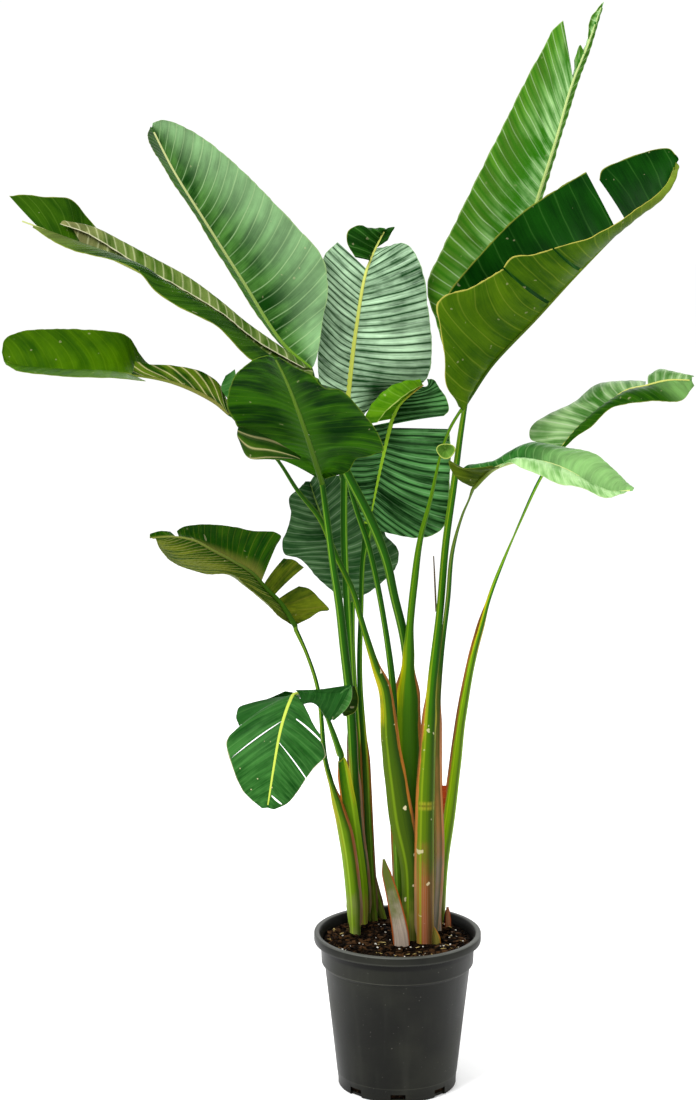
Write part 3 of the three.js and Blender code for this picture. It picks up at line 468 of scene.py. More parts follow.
# Blade colours from 0 to 255, vein spacing in millimetres, and how strong each marking is. A far colour
# has the two distances from the midrib's foot, in millimetres, between which it comes in.
BLADES = {
    # pale_fan: its pale outer part and veins are partly painted reflection of the softboxes on the glossy
    # blade.
    "pale_fan": dict(dark=(14, 64, 4), light=(82, 136, 56), vein=(176, 212, 150), outer=(142, 188, 128),
        spacing=17, bands=0.7, lines=0.75, thin=60, patches=1.4, margin=(150, 180, 120)),
    "plain_back": dict(dark=(24, 70, 6), light=(56, 106, 20), vein=(120, 160, 84), spacing=13, lines=0.3),
    # grey_roll: its near-white margin is a painted highlight along the rolled edge.
    "grey_roll": dict(dark=(54, 92, 8), light=(116, 138, 66), vein=(208, 212, 162),
        far=((144, 144, 88), 300, 430), spacing=15, slant=0.05, bands=0.9, lines=0.6, thin=14, patches=1.5,
        margin=(240, 236, 200)),
    "deep_flag": dict(dark=(20, 60, 0), light=(54, 92, 4), vein=(96, 130, 40), spacing=12, lines=0.35),
    "wet_band": dict(dark=(4, 46, 0), light=(56, 100, 8), vein=(96, 136, 46), inner=(150, 162, 74),
        far=((110, 128, 56), 280, 480), spacing=12, lines=0.3, patches=1.0, roughness=0.55),
    "olive_level": dict(dark=(34, 76, 0), light=(78, 120, 0), vein=(112, 150, 30), spacing=17, bands=0.4,
        lines=0.2, fine_lines=0.3, patches=0.9, margin=(110, 130, 30)),
    "striped_base": dict(dark=(24, 64, 0), light=(90, 116, 18), vein=(206, 198, 140), spacing=21,
        slant=-0.06, bands=0.95, lines=0.8, thin=12, patches=1.0, margin=(60, 80, 10)),
    "front_olive": dict(dark=(4, 44, 0), light=(46, 98, 0), vein=(92, 140, 24), spacing=14, bands=0.8,
        lines=0.35, thin=60, fine_lines=0.6, patches=0.9, margin=(96, 124, 30), inner=(46, 94, 0)),
    # silver_sheen_bands: the whitish light tone and veins are partly painted reflection on the glossy blade,
    # partly the young leaf's own paleness.
    "silver_sheen_bands": dict(dark=(0, 58, 8), light=(216, 258, 210), vein=(240, 262, 240), spacing=9.8,
        bands=0.3, lines=0.3, groove=1.0, sharp=4.5, fine_lines=0.7, patches=1.3, margin=(150, 190, 130),
        specks=0),
    "dark_tip": dict(dark=(4, 44, 0), light=(34, 90, 14), vein=(110, 160, 80), spacing=9, lines=0.4,
        groove=0.5),
    "deep_bands": dict(dark=(0, 38, 0), light=(92, 156, 84), vein=(150, 196, 140), spacing=9.6, bands=0.6,
        lines=0.4, groove=1.0, fine_lines=0.8, patches=0.9, margin=(120, 160, 80), specks=0),
    "bright_curl": dict(dark=(44, 104, 0), light=(110, 164, 20), vein=(150, 190, 80), spacing=14, bands=0.4,
        lines=0.25, margin=(190, 206, 110)),
    "blue_green": dict(dark=(20, 62, 20), light=(84, 120, 76), vein=(156, 182, 146), spacing=10, bands=0.6,
        lines=0.45, groove=0.7, fine_lines=0.7, margin=(30, 70, 20), specks=0),
    "low_dark": dict(dark=(6, 54, 0), light=(50, 94, 0), vein=(120, 130, 40), spacing=10, lines=0.4,
        inner=(120, 120, 50), margin=(60, 90, 10)),
    "low_olive": dict(dark=(20, 52, 0), light=(100, 114, 16), vein=(140, 130, 50), bands=0.7, lines=0.3,
        patches=1.6, margin=(60, 80, 10)),
    "low_stripes": dict(dark=(40, 76, 0), light=(112, 124, 26), vein=(184, 174, 110), spacing=10,
        slant=-0.1, bands=0.9, thin=10, fine_lines=0.9, margin=(90, 100, 20), inner=(20, 66, 0)),
    "flap": dict(dark=(6, 58, 4), light=(40, 96, 34), vein=(80, 130, 60), spacing=12, lines=0.3,
        margin=(20, 70, 10)),
    "dark_curl": dict(dark=(10, 46, 0), light=(58, 92, 10), vein=(196, 184, 130), spacing=90, slant=0.22,
        bands=0.7, lines=0.7, thin=7, patches=1.2, margin=(60, 90, 10)),
    "flap_olive": dict(dark=(8, 36, 0), light=(40, 66, 0), vein=(90, 110, 20), lines=0.2),
    "curl_light": dict(dark=(40, 100, 30), light=(84, 138, 70), vein=(130, 170, 110), spacing=9, lines=0.3,
        margin=(150, 180, 110)),
    "leaf_cup": dict(dark=(60, 110, 20), light=(120, 164, 66), vein=(150, 190, 90), lines=0.2, patches=1.2,
        margin=(190, 204, 100), specks=0),
    "dry_brown": dict(dark=(60, 50, 26), light=(120, 104, 70), vein=(150, 130, 90), margin=(60, 50, 30)),
    "dry_red": dict(dark=(130, 40, 10), light=(176, 70, 24), vein=(200, 110, 50), margin=(110, 40, 10)),
    "hanging": dict(dark=(8, 64, 8), light=(58, 116, 48), vein=(104, 152, 84), spacing=8, lines=0.3,
        margin=(206, 196, 160), specks=0.9, patches=1.1),
    # tall_bands: its pale light tone is partly painted reflection on the glossy blade.
    "tall_bands": dict(dark=(40, 108, 4), light=(166, 210, 138), vein=(200, 224, 176), outer=(84, 140, 34),
        spacing=17, bands=0.9, thin=60, groove=0.7, patches=1.2, margin=(150, 180, 100), specks=0.1),
    "cup_inside": dict(dark=(0, 40, 0), light=(16, 74, 4), vein=(60, 110, 40), spacing=26, thin=90),
    "cup_outside": dict(dark=(38, 76, 0), light=(78, 112, 4), vein=(128, 146, 44), spacing=20, lines=0.45,
        thin=60, far=((116, 140, 40), 330, 470), patches=1.0, margin=(206, 196, 90), specks=0.2),
    "right_pale": dict(dark=(58, 112, 34), light=(146, 184, 120), vein=(200, 218, 176), spacing=12,
        bands=0.8, thin=16, groove=0.5, patches=1.0, margin=(140, 170, 90), specks=0.1),
    "right_dark": dict(dark=(8, 54, 0), light=(44, 92, 4), vein=(90, 130, 40),
        far=((120, 170, 90), 170, 215), spacing=12, lines=0.3),
    "fresh_light": dict(dark=(78, 146, 44), light=(180, 224, 150), vein=(216, 240, 190), spacing=13,
        bands=0.7, lines=0.4, patches=1.3, margin=(190, 214, 150), specks=0),
    "fresh_upper": dict(dark=(14, 70, 10), light=(60, 124, 50), vein=(160, 200, 130), spacing=12, lines=0.3,
        far=((144, 196, 116), 90, 190), margin=(150, 190, 110), specks=0),
    "fresh_base": dict(dark=(34, 56, 0), light=(80, 100, 8), vein=(130, 140, 50), spacing=10, lines=0.3,
        margin=(100, 116, 36)),
}

# Each leaf has the points of its stalk, with widths, and of its midrib, and its lobes, in millimetres.
# A lobe's span is the share of the midrib that it grows from. It bends over a crest or an arch to its edge.
# A slit has its share along the lobe, the shares across where it starts and ends, and half its width.
LEAVES = {
    "upper_left": dict(
        seed=10, groove=1, sheath_top=560, pleat=0.5, rib_rise=1.6, rib_width=6,
        rib_look=((110, 156, 40), (200, 206, 140)),
        stalk=[[28, 26, 228, 18], [20, 33, 531, 16], [13, 40, 710, 15], [-7, 26, 803, 14],
               [-20, 14, 863, 14], [-47, 2, 934, 15], [-82, -13, 1006, 14], [-116, -20, 1081, 13],
               [-131, -18, 1135, 12]],
        rib=[[-137, -15, 1169], [-180, -18, 1208], [-242, -35, 1307], [-301, -58, 1404], [-342, -76, 1473],
             [-373, -92, 1537]],
        lobes=[
            dict(side=LEFT, span=(0, 1), arch=10, finish="pale_fan", sweep=0.35, edge=[
                [-133, -10, 1172], [-127, 0, 1190], [-119, 25, 1240], [-111, 35, 1289], [-119, 35, 1337],
                [-151, 30, 1376], [-196, 15, 1425], [-253, -10, 1483], [-309, -35, 1528], [-355, -65, 1549],
                [-372, -86, 1545]]),
            dict(side=RIGHT, span=(0, 1), arch=12, finish="plain_back", edge=[
                [-144, -8, 1170], [-193, 50, 1206], [-260, 85, 1299], [-319, 80, 1397], [-363, 50, 1469],
                [-384, -30, 1521], [-376, -84, 1539]]),
        ],
    ),
    "long_left": dict(
        seed=20, groove=1, sheath_top=560, pleat=0.15, rib_look=((90, 130, 30), (196, 204, 130), 0.1, 0.5),
        stalk=[[8, 12, 228, 16], [-3, 2, 473, 16], [-7, 0, 572, 13], [-8, 2, 650, 11], [-25, 6, 778, 9],
               [-47, 15, 882, 9], [-67, 18, 943, 9], [-80, 8, 994, 9], [-91, -22, 1066, 10],
               [-108, -55, 1124, 10]],
        rib=[[-126, -80, 1158], [-209, -92, 1202], [-269, -100, 1251], [-348, -108, 1300],
             [-451, -116, 1352], [-549, -120, 1393], [-574, -120, 1402]],
        lobes=[
            dict(side=RIGHT, span=(0.02, 0.8), finish="grey_roll", crest=[
                [-135, -66, 1172], [-172, -58, 1199], [-202, -58, 1220], [-236, -62, 1245],
                [-276, -66, 1279], [-320, -70, 1312], [-371, -76, 1341], [-416, -84, 1366],
                [-459, -96, 1388], [-499, -108, 1397]], edge=[
                [-147, -84, 1177], [-210, -92, 1213], [-266, -98, 1257], [-318, -102, 1291],
                [-378, -107, 1324], [-429, -112, 1356], [-473, -116, 1383], [-510, -118, 1396]]),
            dict(side=RIGHT, span=(0.76, 0.93), arch=-6, finish="deep_flag", sweep=0.6, edge=[
                [-458, -70, 1385], [-476, -72, 1407], [-488, -78, 1424], [-502, -88, 1434],
                [-534, -100, 1436], [-562, -112, 1440], [-585, -120, 1438]]),
            dict(side=LEFT, span=(0, 0.95), arch=12, wave=4, finish="wet_band", sweep=0.5, edge=[
                [-135, -90, 1150], [-170, -130, 1164], [-223, -165, 1200], [-274, -180, 1245],
                [-313, -188, 1268], [-365, -192, 1308], [-384, -194, 1327], [-431, -194, 1345],
                [-494, -180, 1367], [-529, -150, 1380], [-550, -126, 1391]]),
        ],
    ),
    "level_left": dict(
        seed=30, groove=1, sheath_top=719, pleat=0.3, rib_look=((132, 132, 62), (112, 134, 40), 0.1, 0.6),
        stalk_look=dict(low=(64, 90, 0), high=(44, 96, 0), margin=(186, 118, 40), dry_side=RIGHT,
                        dry_width=0.12, scars=0.9, light=(120, 150, 20), edge=(200, 186, 10)),
        stalk=[[22, -8, 228, 24], [21, -9, 360, 27], [6, -12, 444, 34], [-5, -16, 519, 29],
               [-12, -20, 569, 24], [-22, -28, 662, 15], [-36, -32, 699, 12], [-60, -40, 779, 9],
               [-72, -44, 822, 9], [-102, -52, 888, 9], [-123, -58, 939, 9], [-157, -64, 984, 8],
               [-191, -70, 1037, 7], [-227, -74, 1071, 8]],
        rib=[[-261, -75, 1107], [-285, -80, 1127], [-350, -95, 1158], [-437, -110, 1172],
             [-504, -120, 1173], [-571, -125, 1181], [-598, -125, 1192]],
        lobes=[
            dict(side=LEFT, span=(0, 0.46), arch=-8, finish="striped_base", edge=[
                [-262, -82, 1121], [-276, -88, 1153], [-293, -90, 1167], [-314, -94, 1176],
                [-350, -100, 1183], [-380, -106, 1185], [-402, -110, 1190]]),
            dict(side=RIGHT, span=(0, 1), arch=-8, finish="olive_level", sweep=0.5, edge=[
                [-259, -66, 1112], [-287, -36, 1141], [-324, -28, 1160], [-362, -30, 1168],
                [-385, -40, 1178], [-399, -50, 1195], [-413, -60, 1220], [-426, -65, 1228],
                [-490, -80, 1236], [-546, -95, 1237], [-572, -105, 1235], [-597, -115, 1224],
                [-601, -122, 1205]]),
            dict(side=LEFT, span=(0.47, 1), arch=8, finish="olive_level", sweep=0.5, edge=[
                [-381, -175, 1167], [-429, -200, 1175], [-494, -208, 1177], [-562, -195, 1183],
                [-592, -145, 1188]]),
        ],
    ),
    "front": dict(
        seed=40, groove=1, sheath_top=522, pleat=0.25, rib_rise=2.0, rib_look=((62, 96, 4), (96, 130, 30)),
        stalk=[[-50, 88, 228, 15], [-54, 84, 314, 16], [-64, 68, 404, 16], [-70, 42, 507, 15],
               [-77, 12, 635, 15], [-86, -15, 723, 14], [-94, -50, 804, 13], [-103, -76, 869, 11],
               [-111, -86, 933, 10]],
        rib=[[-120, -84, 1001], [-138, -160, 1072], [-159, -245, 1147], [-171, -295, 1185],
             [-184, -345, 1219]],
        lobes=[
            dict(side=RIGHT, span=(0, 1), arch=14, wave=4, finish="front_olive", edge=[
                [-124, -84, 1006], [-160, -90, 1025], [-182, -96, 1037], [-206, -104, 1043],
                [-230, -118, 1053], [-243, -136, 1079], [-253, -172, 1114], [-259, -200, 1137],
                [-254, -235, 1162], [-241, -275, 1190], [-217, -315, 1213], [-194, -340, 1222]]),
            dict(side=LEFT, span=(0, 0.36), arch=10, wave=3, finish="front_olive", edge=[
                [-115, -84, 1006], [-92, -82, 1012], [-80, -84, 1020], [-65, -97, 1037], [-45, -107, 1048],
                [-27, -120, 1051], [-26, -128, 1063], [-35, -147, 1086]]),
            dict(side=LEFT, span=(0.37, 1), arch=10, wave=2, finish="front_olive", edge=[
                [-36, -149, 1089], [-56, -185, 1119], [-77, -220, 1147], [-96, -248, 1165],
                [-115, -268, 1168], [-135, -292, 1189], [-160, -322, 1207], [-177, -342, 1219]]),
        ],
    ),
    "upright": dict(
        seed=50, groove=-1, sheath_top=600, pleat=1.0, rib_rise=3.4, rib_width=11,
        rib_look=((214, 226, 84), (226, 232, 120)),
        stalk=[[-74, 82, 228, 13], [-72, 84, 348, 14], [-72, 78, 485, 13], [-75, 66, 653, 11],
               [-82, 54, 788, 11], [-86, 50, 887, 11], [-86, 50, 987, 11]],
        rib=[[-85, 56, 1041], [-80, 76, 1115], [-67, 90, 1223], [-50, 100, 1314], [-29, 108, 1362],
             [-21, 112, 1376]],
        lobes=[
            dict(side=LEFT, span=(0, 0.8), arch=8, wave=4, finish="silver_sheen_bands", sweep=0.25, edge=[
                [-91, 58, 1044], [-110, 64, 1070], [-123, 74, 1117], [-128, 84, 1171], [-126, 88, 1219],
                [-124, 86, 1266], [-121, 92, 1313], [-118, 94, 1335], [-97, 96, 1357]]),
            dict(side=LEFT, span=(0.84, 1), arch=6, finish="dark_tip", edge=[
                [-69, 84, 1334], [-82, 78, 1358], [-80, 80, 1375], [-64, 84, 1384], [-45, 96, 1379],
                [-28, 108, 1378]]),
            dict(side=RIGHT, span=(0.9, 1), finish="dark_tip", edge=[
                [-17, 108, 1359], [-12, 108, 1369], [-6, 106, 1380], [-17, 110, 1378]]),
            dict(side=RIGHT, span=(0, 0.9), arch=8, wave=4, finish="silver_sheen_bands", sweep=0.1, edge=[
                [-78, 60, 1045], [-70, 70, 1066], [-55, 84, 1085], [-35, 98, 1103], [-11, 108, 1121],
                [16, 111, 1130], [38, 110, 1133], [49, 106, 1147], [54, 98, 1181], [52, 94, 1218],
                [47, 92, 1255], [42, 92, 1297], [34, 90, 1323], [19, 98, 1349], [5, 102, 1355],
                [-14, 104, 1350], [-28, 104, 1347]]),
        ],
    ),
    "centre": dict(
        seed=60, groove=-1, sheath_top=560, pleat=0.8, rib_rise=3.4, rib_width=16,
        rib_look=((150, 196, 44), (190, 150, 60), 0.72, 1.0),
        stalk=[[-36, 96, 228, 12], [-44, 96, 344, 12], [-52, 92, 515, 11], [-61, 88, 657, 9],
               [-59, 84, 768, 8], [-56, 84, 849, 8]],
        rib=[[-46, 86, 907], [-35, 92, 966], [-22, 98, 1024], [-11, 102, 1067], [1, 100, 1096],
             [19, 88, 1117], [40, 66, 1137]],
        lobes=[
            dict(side=RIGHT, span=(0.62, 0.96), arch=8, finish="deep_bands", edge=[
                [73, 78, 1083], [81, 80, 1092], [76, 86, 1112], [66, 90, 1126], [57, 92, 1139],
                [45, 84, 1141]]),
            dict(side=RIGHT, span=(0, 0.6), arch=8, wave=4, finish="deep_bands", edge=[
                [-38, 86, 899], [-9, 82, 892], [26, 78, 886], [55, 74, 891], [74, 70, 905], [81, 68, 949],
                [84, 70, 1005], [82, 76, 1062]]),
            dict(side=LEFT, span=(0, 0.64), arch=8, wave=3, finish="deep_bands", edge=[
                [-51, 86, 910], [-70, 84, 934], [-90, 82, 973], [-98, 80, 1020], [-90, 80, 1057]]),
            dict(side=LEFT, span=(0.66, 0.97), finish="bright_curl", crest=[
                [-53, 76, 1070], [-48, 60, 1093], [-33, 50, 1116], [-12, 46, 1134], [11, 48, 1142],
                [34, 56, 1143]], edge=[
                [-33, 52, 1076], [-17, 42, 1097], [3, 42, 1114], [24, 50, 1128], [38, 60, 1134]]),
        ],
    ),
    "back": dict(
        seed=70, groove=-1, sheath_top=560, pleat=0.8, rib_look=((96, 130, 50), (120, 150, 70)),
        stalk=[[-18, 102, 228, 11], [-47, 116, 338, 11], [-60, 130, 505, 10], [-70, 138, 638, 9],
               [-73, 140, 705, 9]],
        rib=[[-73, 140, 769], [-93, 146, 837], [-116, 154, 889], [-139, 168, 950], [-142, 170, 963]],
        lobes=[
            dict(side=LEFT, span=(0, 1), arch=10, wave=5, finish="blue_green", edge=[
                [-80, 138, 771], [-104, 132, 787], [-129, 124, 813], [-148, 118, 834], [-164, 115, 846],
                [-182, 112, 854], [-185, 115, 874], [-180, 122, 891], [-174, 132, 919], [-174, 142, 942],
                [-163, 148, 952], [-150, 164, 964]]),
            dict(side=RIGHT, span=(0, 1), arch=10, wave=4, finish="blue_green", edge=[
                [-65, 140, 775], [-39, 130, 792], [-15, 122, 814], [-1, 118, 833], [3, 119, 854],
                [-2, 122, 867], [-18, 128, 882], [-28, 138, 913], [-51, 158, 968], [-110, 164, 974],
                [-136, 170, 972]]),
        ],
    ),
    "low_left": dict(
        seed=80, groove=1, sheath_top=497, pleat=0.3, rib_rise=1.4,
        rib_look=((50, 88, 4), (130, 140, 60), 0.2, 0.8),
        stalk_look=dict(foot=(122, 138, 52), low=(110, 148, 8), light=(158, 190, 56), margin=(176, 104, 40),
                        dry_side=RIGHT, dry_width=0.16),
        stalk=[[-68, 27, 228, 17], [-70, 27, 298, 20], [-82, 27, 399, 19], [-96, 27, 456, 13],
               [-107, 28, 494, 9], [-117, 28, 535, 8], [-128, 28, 648, 7], [-145, 30, 704, 7]],
        rib=[[-166, 30, 752], [-186, 15, 789], [-211, 0, 819], [-232, -15, 846], [-260, -35, 868],
             [-292, -60, 891], [-317, -80, 909], [-347, -102, 919], [-382, -125, 921]],
        lobes=[
            dict(side=LEFT, span=(0.3, 0.84), arch=10, finish="low_dark", edge=[
                [-194, 34, 882], [-186, 32, 897], [-196, 26, 905], [-225, 10, 909], [-266, -20, 922],
                [-307, -50, 930], [-334, -75, 930], [-343, -88, 926]]),
            dict(side=LEFT, span=(0.86, 1), finish="low_dark", edge=[
                [-353, -96, 926], [-368, -108, 929], [-382, -120, 927]]),
            dict(side=LEFT, span=(0.2, 0.28), arch=4, finish="low_olive", edge=[
                [-150, 52, 843], [-166, 46, 856], [-182, 40, 860]]),
            dict(side=LEFT, span=(0.02, 0.17), arch=6, finish="low_olive", edge=[
                [-161, 34, 754], [-141, 44, 762], [-125, 54, 770], [-110, 60, 772], [-125, 60, 790],
                [-141, 56, 807], [-158, 48, 813]]),
            dict(side=RIGHT, span=(0, 0.97), arch=10, wave=4, finish="low_stripes", sweep=0.7, edge=[
                [-172, 26, 756], [-185, 6, 771], [-200, -16, 789], [-216, -34, 808], [-230, -50, 828],
                [-247, -75, 847], [-268, -100, 859], [-303, -130, 871], [-338, -148, 881],
                [-351, -152, 891], [-360, -150, 903], [-369, -136, 914]]),
        ],
    ),
    "hanging": dict(
        seed=90, groove=-1, sheath_top=552, lip=2.5, pleat=0.25, rib_rise=2.2, rib_width=7,
        rib_look=((46, 96, 24), (206, 224, 90), 0.16, 0.34),
        stalk_look=dict(foot=(150, 130, 50), low=(104, 146, 0), high=(50, 110, 0), margin=(186, 114, 34),
                        dry_side=RIGHT, dry_width=0.14, light=(140, 180, 30)),
        stalk=[[-57, 68, 228, 20], [-62, 57, 317, 24], [-72, 47, 401, 24], [-78, 36, 453, 22],
               [-85, 14, 503, 19], [-90, -8, 542, 14], [-99, -38, 580, 10]],
        rib=[[-113, -72, 629], [-127, -92, 657], [-145, -112, 674], [-162, -130, 679], [-170, -150, 669],
             [-178, -165, 649], [-185, -180, 623], [-194, -198, 572], [-202, -205, 519]],
        lobes=[
            dict(side=LEFT, span=(0.03, 0.22), arch=-4, finish="flap", edge=[
                [-108, -76, 629], [-97, -82, 643], [-88, -88, 662], [-83, -94, 680], [-108, -108, 681],
                [-131, -120, 681]]),
            dict(side=RIGHT, span=(0.1, 0.29), arch=4, finish="flap", edge=[
                [-178, -84, 672], [-214, -72, 654], [-250, -76, 645], [-254, -92, 634], [-249, -110, 623]]),
            dict(side=RIGHT, span=(0.325, 0.52), arch=7, finish="hanging", edge=[
                [-246, -142, 626], [-262, -156, 619], [-267, -164, 608], [-261, -173, 586]]),
            dict(side=RIGHT, span=(0.523, 1), arch=3, finish="hanging", edge=[
                [-261, -173, 586], [-251, -184, 560], [-240, -191, 541], [-226, -198, 529],
                [-211, -204, 518]]),
            dict(side=LEFT, span=(0.34, 0.64), arch=8, wave=3, finish="hanging",
                 slits=[(0.44, 0.25, 1.2, 1.0)], edge=[
                [-149, -150, 650], [-130, -160, 634], [-120, -170, 613], [-115, -180, 592],
                [-130, -188, 578], [-143, -194, 562]]),
            dict(side=LEFT, span=(0.643, 1), arch=6, finish="hanging", slits=[(0.78, 0.1, 0.9, 0.6)], edge=[
                [-144, -195, 561], [-158, -200, 541], [-171, -204, 526], [-191, -206, 517]]),
        ],
    ),
    "tall_right": dict(
        seed=100, groove=1, sheath_top=655, pleat=0.9, rib_look=((176, 200, 90), (196, 216, 140)),
        stalk_look=dict(foot=(156, 84, 44), low=(84, 112, 0), high=(44, 104, 0), margin=(190, 122, 54),
                        dry_side=LEFT, dry_width=0.14, foot_top=0.2, ring=242, scars=0.6,
                        light=(128, 150, 20)),
        stalk=[[43, -21, 228, 25], [42, -22, 364, 26], [43, -19, 479, 24], [49, -12, 608, 18],
               [53, -6, 665, 15], [66, 12, 783, 12], [75, 30, 886, 12], [88, 52, 976, 12],
               [100, 76, 1061, 11]],
        rib=[[108, 92, 1107], [147, 100, 1202], [185, 108, 1309], [220, 114, 1425], [249, 120, 1518],
             [272, 126, 1599], [297, 131, 1662], [321, 136, 1729]],
        lobes=[
            dict(side=RIGHT, span=(0, 0.8), arch=10, wave=3, finish="tall_bands", sweep=0.15, edge=[
                [103, 94, 1111], [79, 100, 1167], [60, 106, 1230], [45, 110, 1286], [68, 116, 1343],
                [104, 126, 1415], [140, 136, 1488], [176, 144, 1560], [211, 150, 1627], [231, 153, 1663],
                [242, 154, 1686], [259, 152, 1701]]),
            dict(side=RIGHT, span=(0.81, 0.87), finish="tall_bands", edge=[
                [276, 134, 1639], [285, 134, 1663], [289, 132, 1655]]),
            dict(side=RIGHT, span=(0.9, 1), arch=2, finish="tall_bands", edge=[
                [297, 134, 1673], [300, 134, 1703], [311, 136, 1718], [318, 137, 1727]]),
            dict(side=LEFT, span=(0, 0.97), arch=12, finish="tall_bands", edge=[
                [115, 104, 1108], [162, 180, 1197], [199, 200, 1302], [233, 206, 1418], [261, 206, 1510],
                [283, 190, 1590], [303, 160, 1655], [320, 141, 1720]]),
        ],
    ),
    "folded_right": dict(
        seed=110, groove=1, sheath_top=692, pleat=0.4, rib_look=((50, 84, 4), (120, 140, 40)),
        stalk_look=dict(foot=(140, 110, 80), low=(70, 120, 0), high=(62, 116, 0), edge=(206, 196, 0),
                        light=(110, 140, 10), margin=(176, 110, 36)),
        stalk=[[32, 9, 228, 24], [23, 10, 370, 26], [16, 14, 469, 36], [15, 18, 551, 42], [14, 20, 633, 38],
               [16, 20, 695, 20], [19, 20, 760, 12], [25, 22, 822, 12], [34, 28, 890, 11],
               [50, 32, 955, 11], [65, 36, 1025, 10], [79, 38, 1066, 10]],
        rib=[[98, 38, 1099], [112, 38, 1121], [144, 34, 1169], [213, 20, 1244], [277, 5, 1316],
             [364, -15, 1406], [397, -20, 1432], [414, -25, 1458], [419, -28, 1485]],
        lobes=[
            dict(side=RIGHT, span=(0.01, 0.42), arch=-14, finish="cup_outside", sweep=0.85, edge=[
                [94, 34, 1103], [88, 25, 1116], [73, 8, 1140], [68, -22, 1193], [61, -37, 1232],
                [56, -42, 1272], [71, -44, 1286], [100, -52, 1294], [129, -57, 1310], [155, -63, 1326]]),
            dict(side=RIGHT, span=(0.43, 0.56), arch=-12, finish="cup_outside", sweep=0.3, edge=[
                [156, -63, 1329], [169, -66, 1344], [199, -68, 1348], [229, -73, 1357]]),
            dict(side=RIGHT, span=(0.57, 1), arch=-8, finish="cup_outside", sweep=0.4, edge=[
                [232, -73, 1358], [256, -74, 1365], [284, -74, 1373], [301, -72, 1382], [327, -66, 1395],
                [353, -60, 1413], [386, -48, 1435], [406, -38, 1456], [414, -32, 1473]]),
            dict(side=LEFT, span=(0.01, 0.72), arch=-12, finish="cup_inside", edge=[
                [101, 46, 1106], [84, 60, 1142], [70, 66, 1205], [66, 64, 1249], [79, 60, 1282],
                [140, 54, 1356], [183, 48, 1400], [224, 40, 1430], [263, 30, 1455], [287, 22, 1469]]),
            dict(side=LEFT, span=(0.76, 1), arch=-6, finish="cup_inside", edge=[
                [307, 18, 1457], [311, 16, 1472], [347, 6, 1490], [389, -6, 1504], [410, -16, 1505],
                [419, -24, 1496]]),
        ],
    ),
    "right_far": dict(
        seed=120, groove=1, sheath_top=793, pleat=0.4, rib_look=((206, 210, 96), (216, 220, 120)),
        stalk_look=dict(foot=(150, 150, 60), low=(128, 172, 0), high=(36, 120, 10), edge=(222, 196, 0),
                        light=(170, 200, 30), margin=(180, 114, 36), dry_side=LEFT, dry_width=0.12),
        stalk=[[69, 73, 228, 15], [72, 66, 336, 17], [83, 60, 423, 16], [93, 54, 512, 14],
               [102, 48, 595, 11], [119, 44, 695, 8], [133, 44, 749, 7], [148, 46, 802, 7],
               [172, 50, 865, 7], [194, 54, 917, 7], [227, 62, 987, 7]],
        rib=[[257, 70, 1031], [288, 62, 1069], [326, 52, 1102], [358, 44, 1127], [387, 38, 1135],
             [422, 34, 1144], [459, 30, 1144]],
        lobes=[
            dict(side=LEFT, span=(0, 0.7), arch=10, wave=3, finish="right_pale", sweep=0.3, edge=[
                [251, 76, 1033], [227, 95, 1037], [211, 112, 1043], [213, 120, 1060], [246, 122, 1079],
                [291, 120, 1108], [330, 114, 1131], [363, 100, 1136], [393, 82, 1137]]),
            dict(side=LEFT, span=(0.72, 1), arch=6, finish="right_pale", edge=[
                [400, 74, 1149], [413, 70, 1159], [434, 60, 1155], [454, 48, 1150], [463, 36, 1150]]),
            dict(side=RIGHT, span=(0, 1), arch=8, wave=3, finish="right_dark", edge=[
                [266, 58, 1037], [293, 34, 1065], [315, 20, 1087], [340, 8, 1106], [362, 0, 1115],
                [390, -6, 1115], [418, -6, 1115], [442, 0, 1119], [454, 12, 1130], [462, 24, 1137]]),
        ],
    ),
    "right_near": dict(
        seed=130, groove=1, sheath_top=640, pleat=0.35, rib_rise=2.2,
        rib_look=((96, 116, 30), (226, 240, 160), 0.08, 0.34),
        stalk_look=dict(foot=(140, 128, 108), low=(170, 124, 66), high=(40, 92, 4), light=(132, 138, 60),
                        edge=(190, 150, 60), margin=(180, 120, 70), dry_width=0.2, foot_top=0.22),
        stalk=[[57, 4, 228, 14], [65, 6, 372, 15], [61, 10, 537, 14], [64, 14, 651, 10], [71, 12, 733, 8],
               [78, 6, 799, 8], [84, -4, 878, 8], [98, -24, 939, 6], [108, -42, 968, 5]],
        rib=[[114, -60, 991], [129, -72, 1009], [144, -82, 1023], [175, -98, 1036], [200, -110, 1039],
             [228, -122, 1035], [256, -136, 1025], [283, -150, 1010], [314, -166, 999], [346, -182, 1003]],
        lobes=[
            dict(side=RIGHT, span=(0.01, 0.22), arch=-4, finish="fresh_base", edge=[
                [103, -72, 996], [89, -84, 1006], [78, -92, 1020], [74, -96, 1036], [88, -100, 1027],
                [114, -102, 1026], [140, -102, 1029]]),
            dict(side=LEFT, span=(0.01, 1), arch=8, wave=2, finish="fresh_upper", sweep=0.5, edge=[
                [110, -50, 1002], [98, -38, 1013], [106, -34, 1019], [125, -36, 1022], [144, -44, 1025],
                [161, -50, 1038], [180, -56, 1050], [203, -64, 1059], [231, -78, 1059], [259, -92, 1055],
                [297, -116, 1048], [320, -138, 1031], [341, -160, 1011], [349, -174, 1006]]),
            dict(side=RIGHT, span=(0.24, 0.97), arch=8, wave=3, finish="fresh_light", sweep=0.5, edge=[
                [150, -110, 1028], [168, -134, 1038], [183, -152, 1035], [208, -172, 1022],
                [237, -188, 1016], [279, -204, 1005], [307, -208, 998], [331, -198, 1001]]),
        ],
    ),
}


# ---------------------------------------------------------------- lines and grids


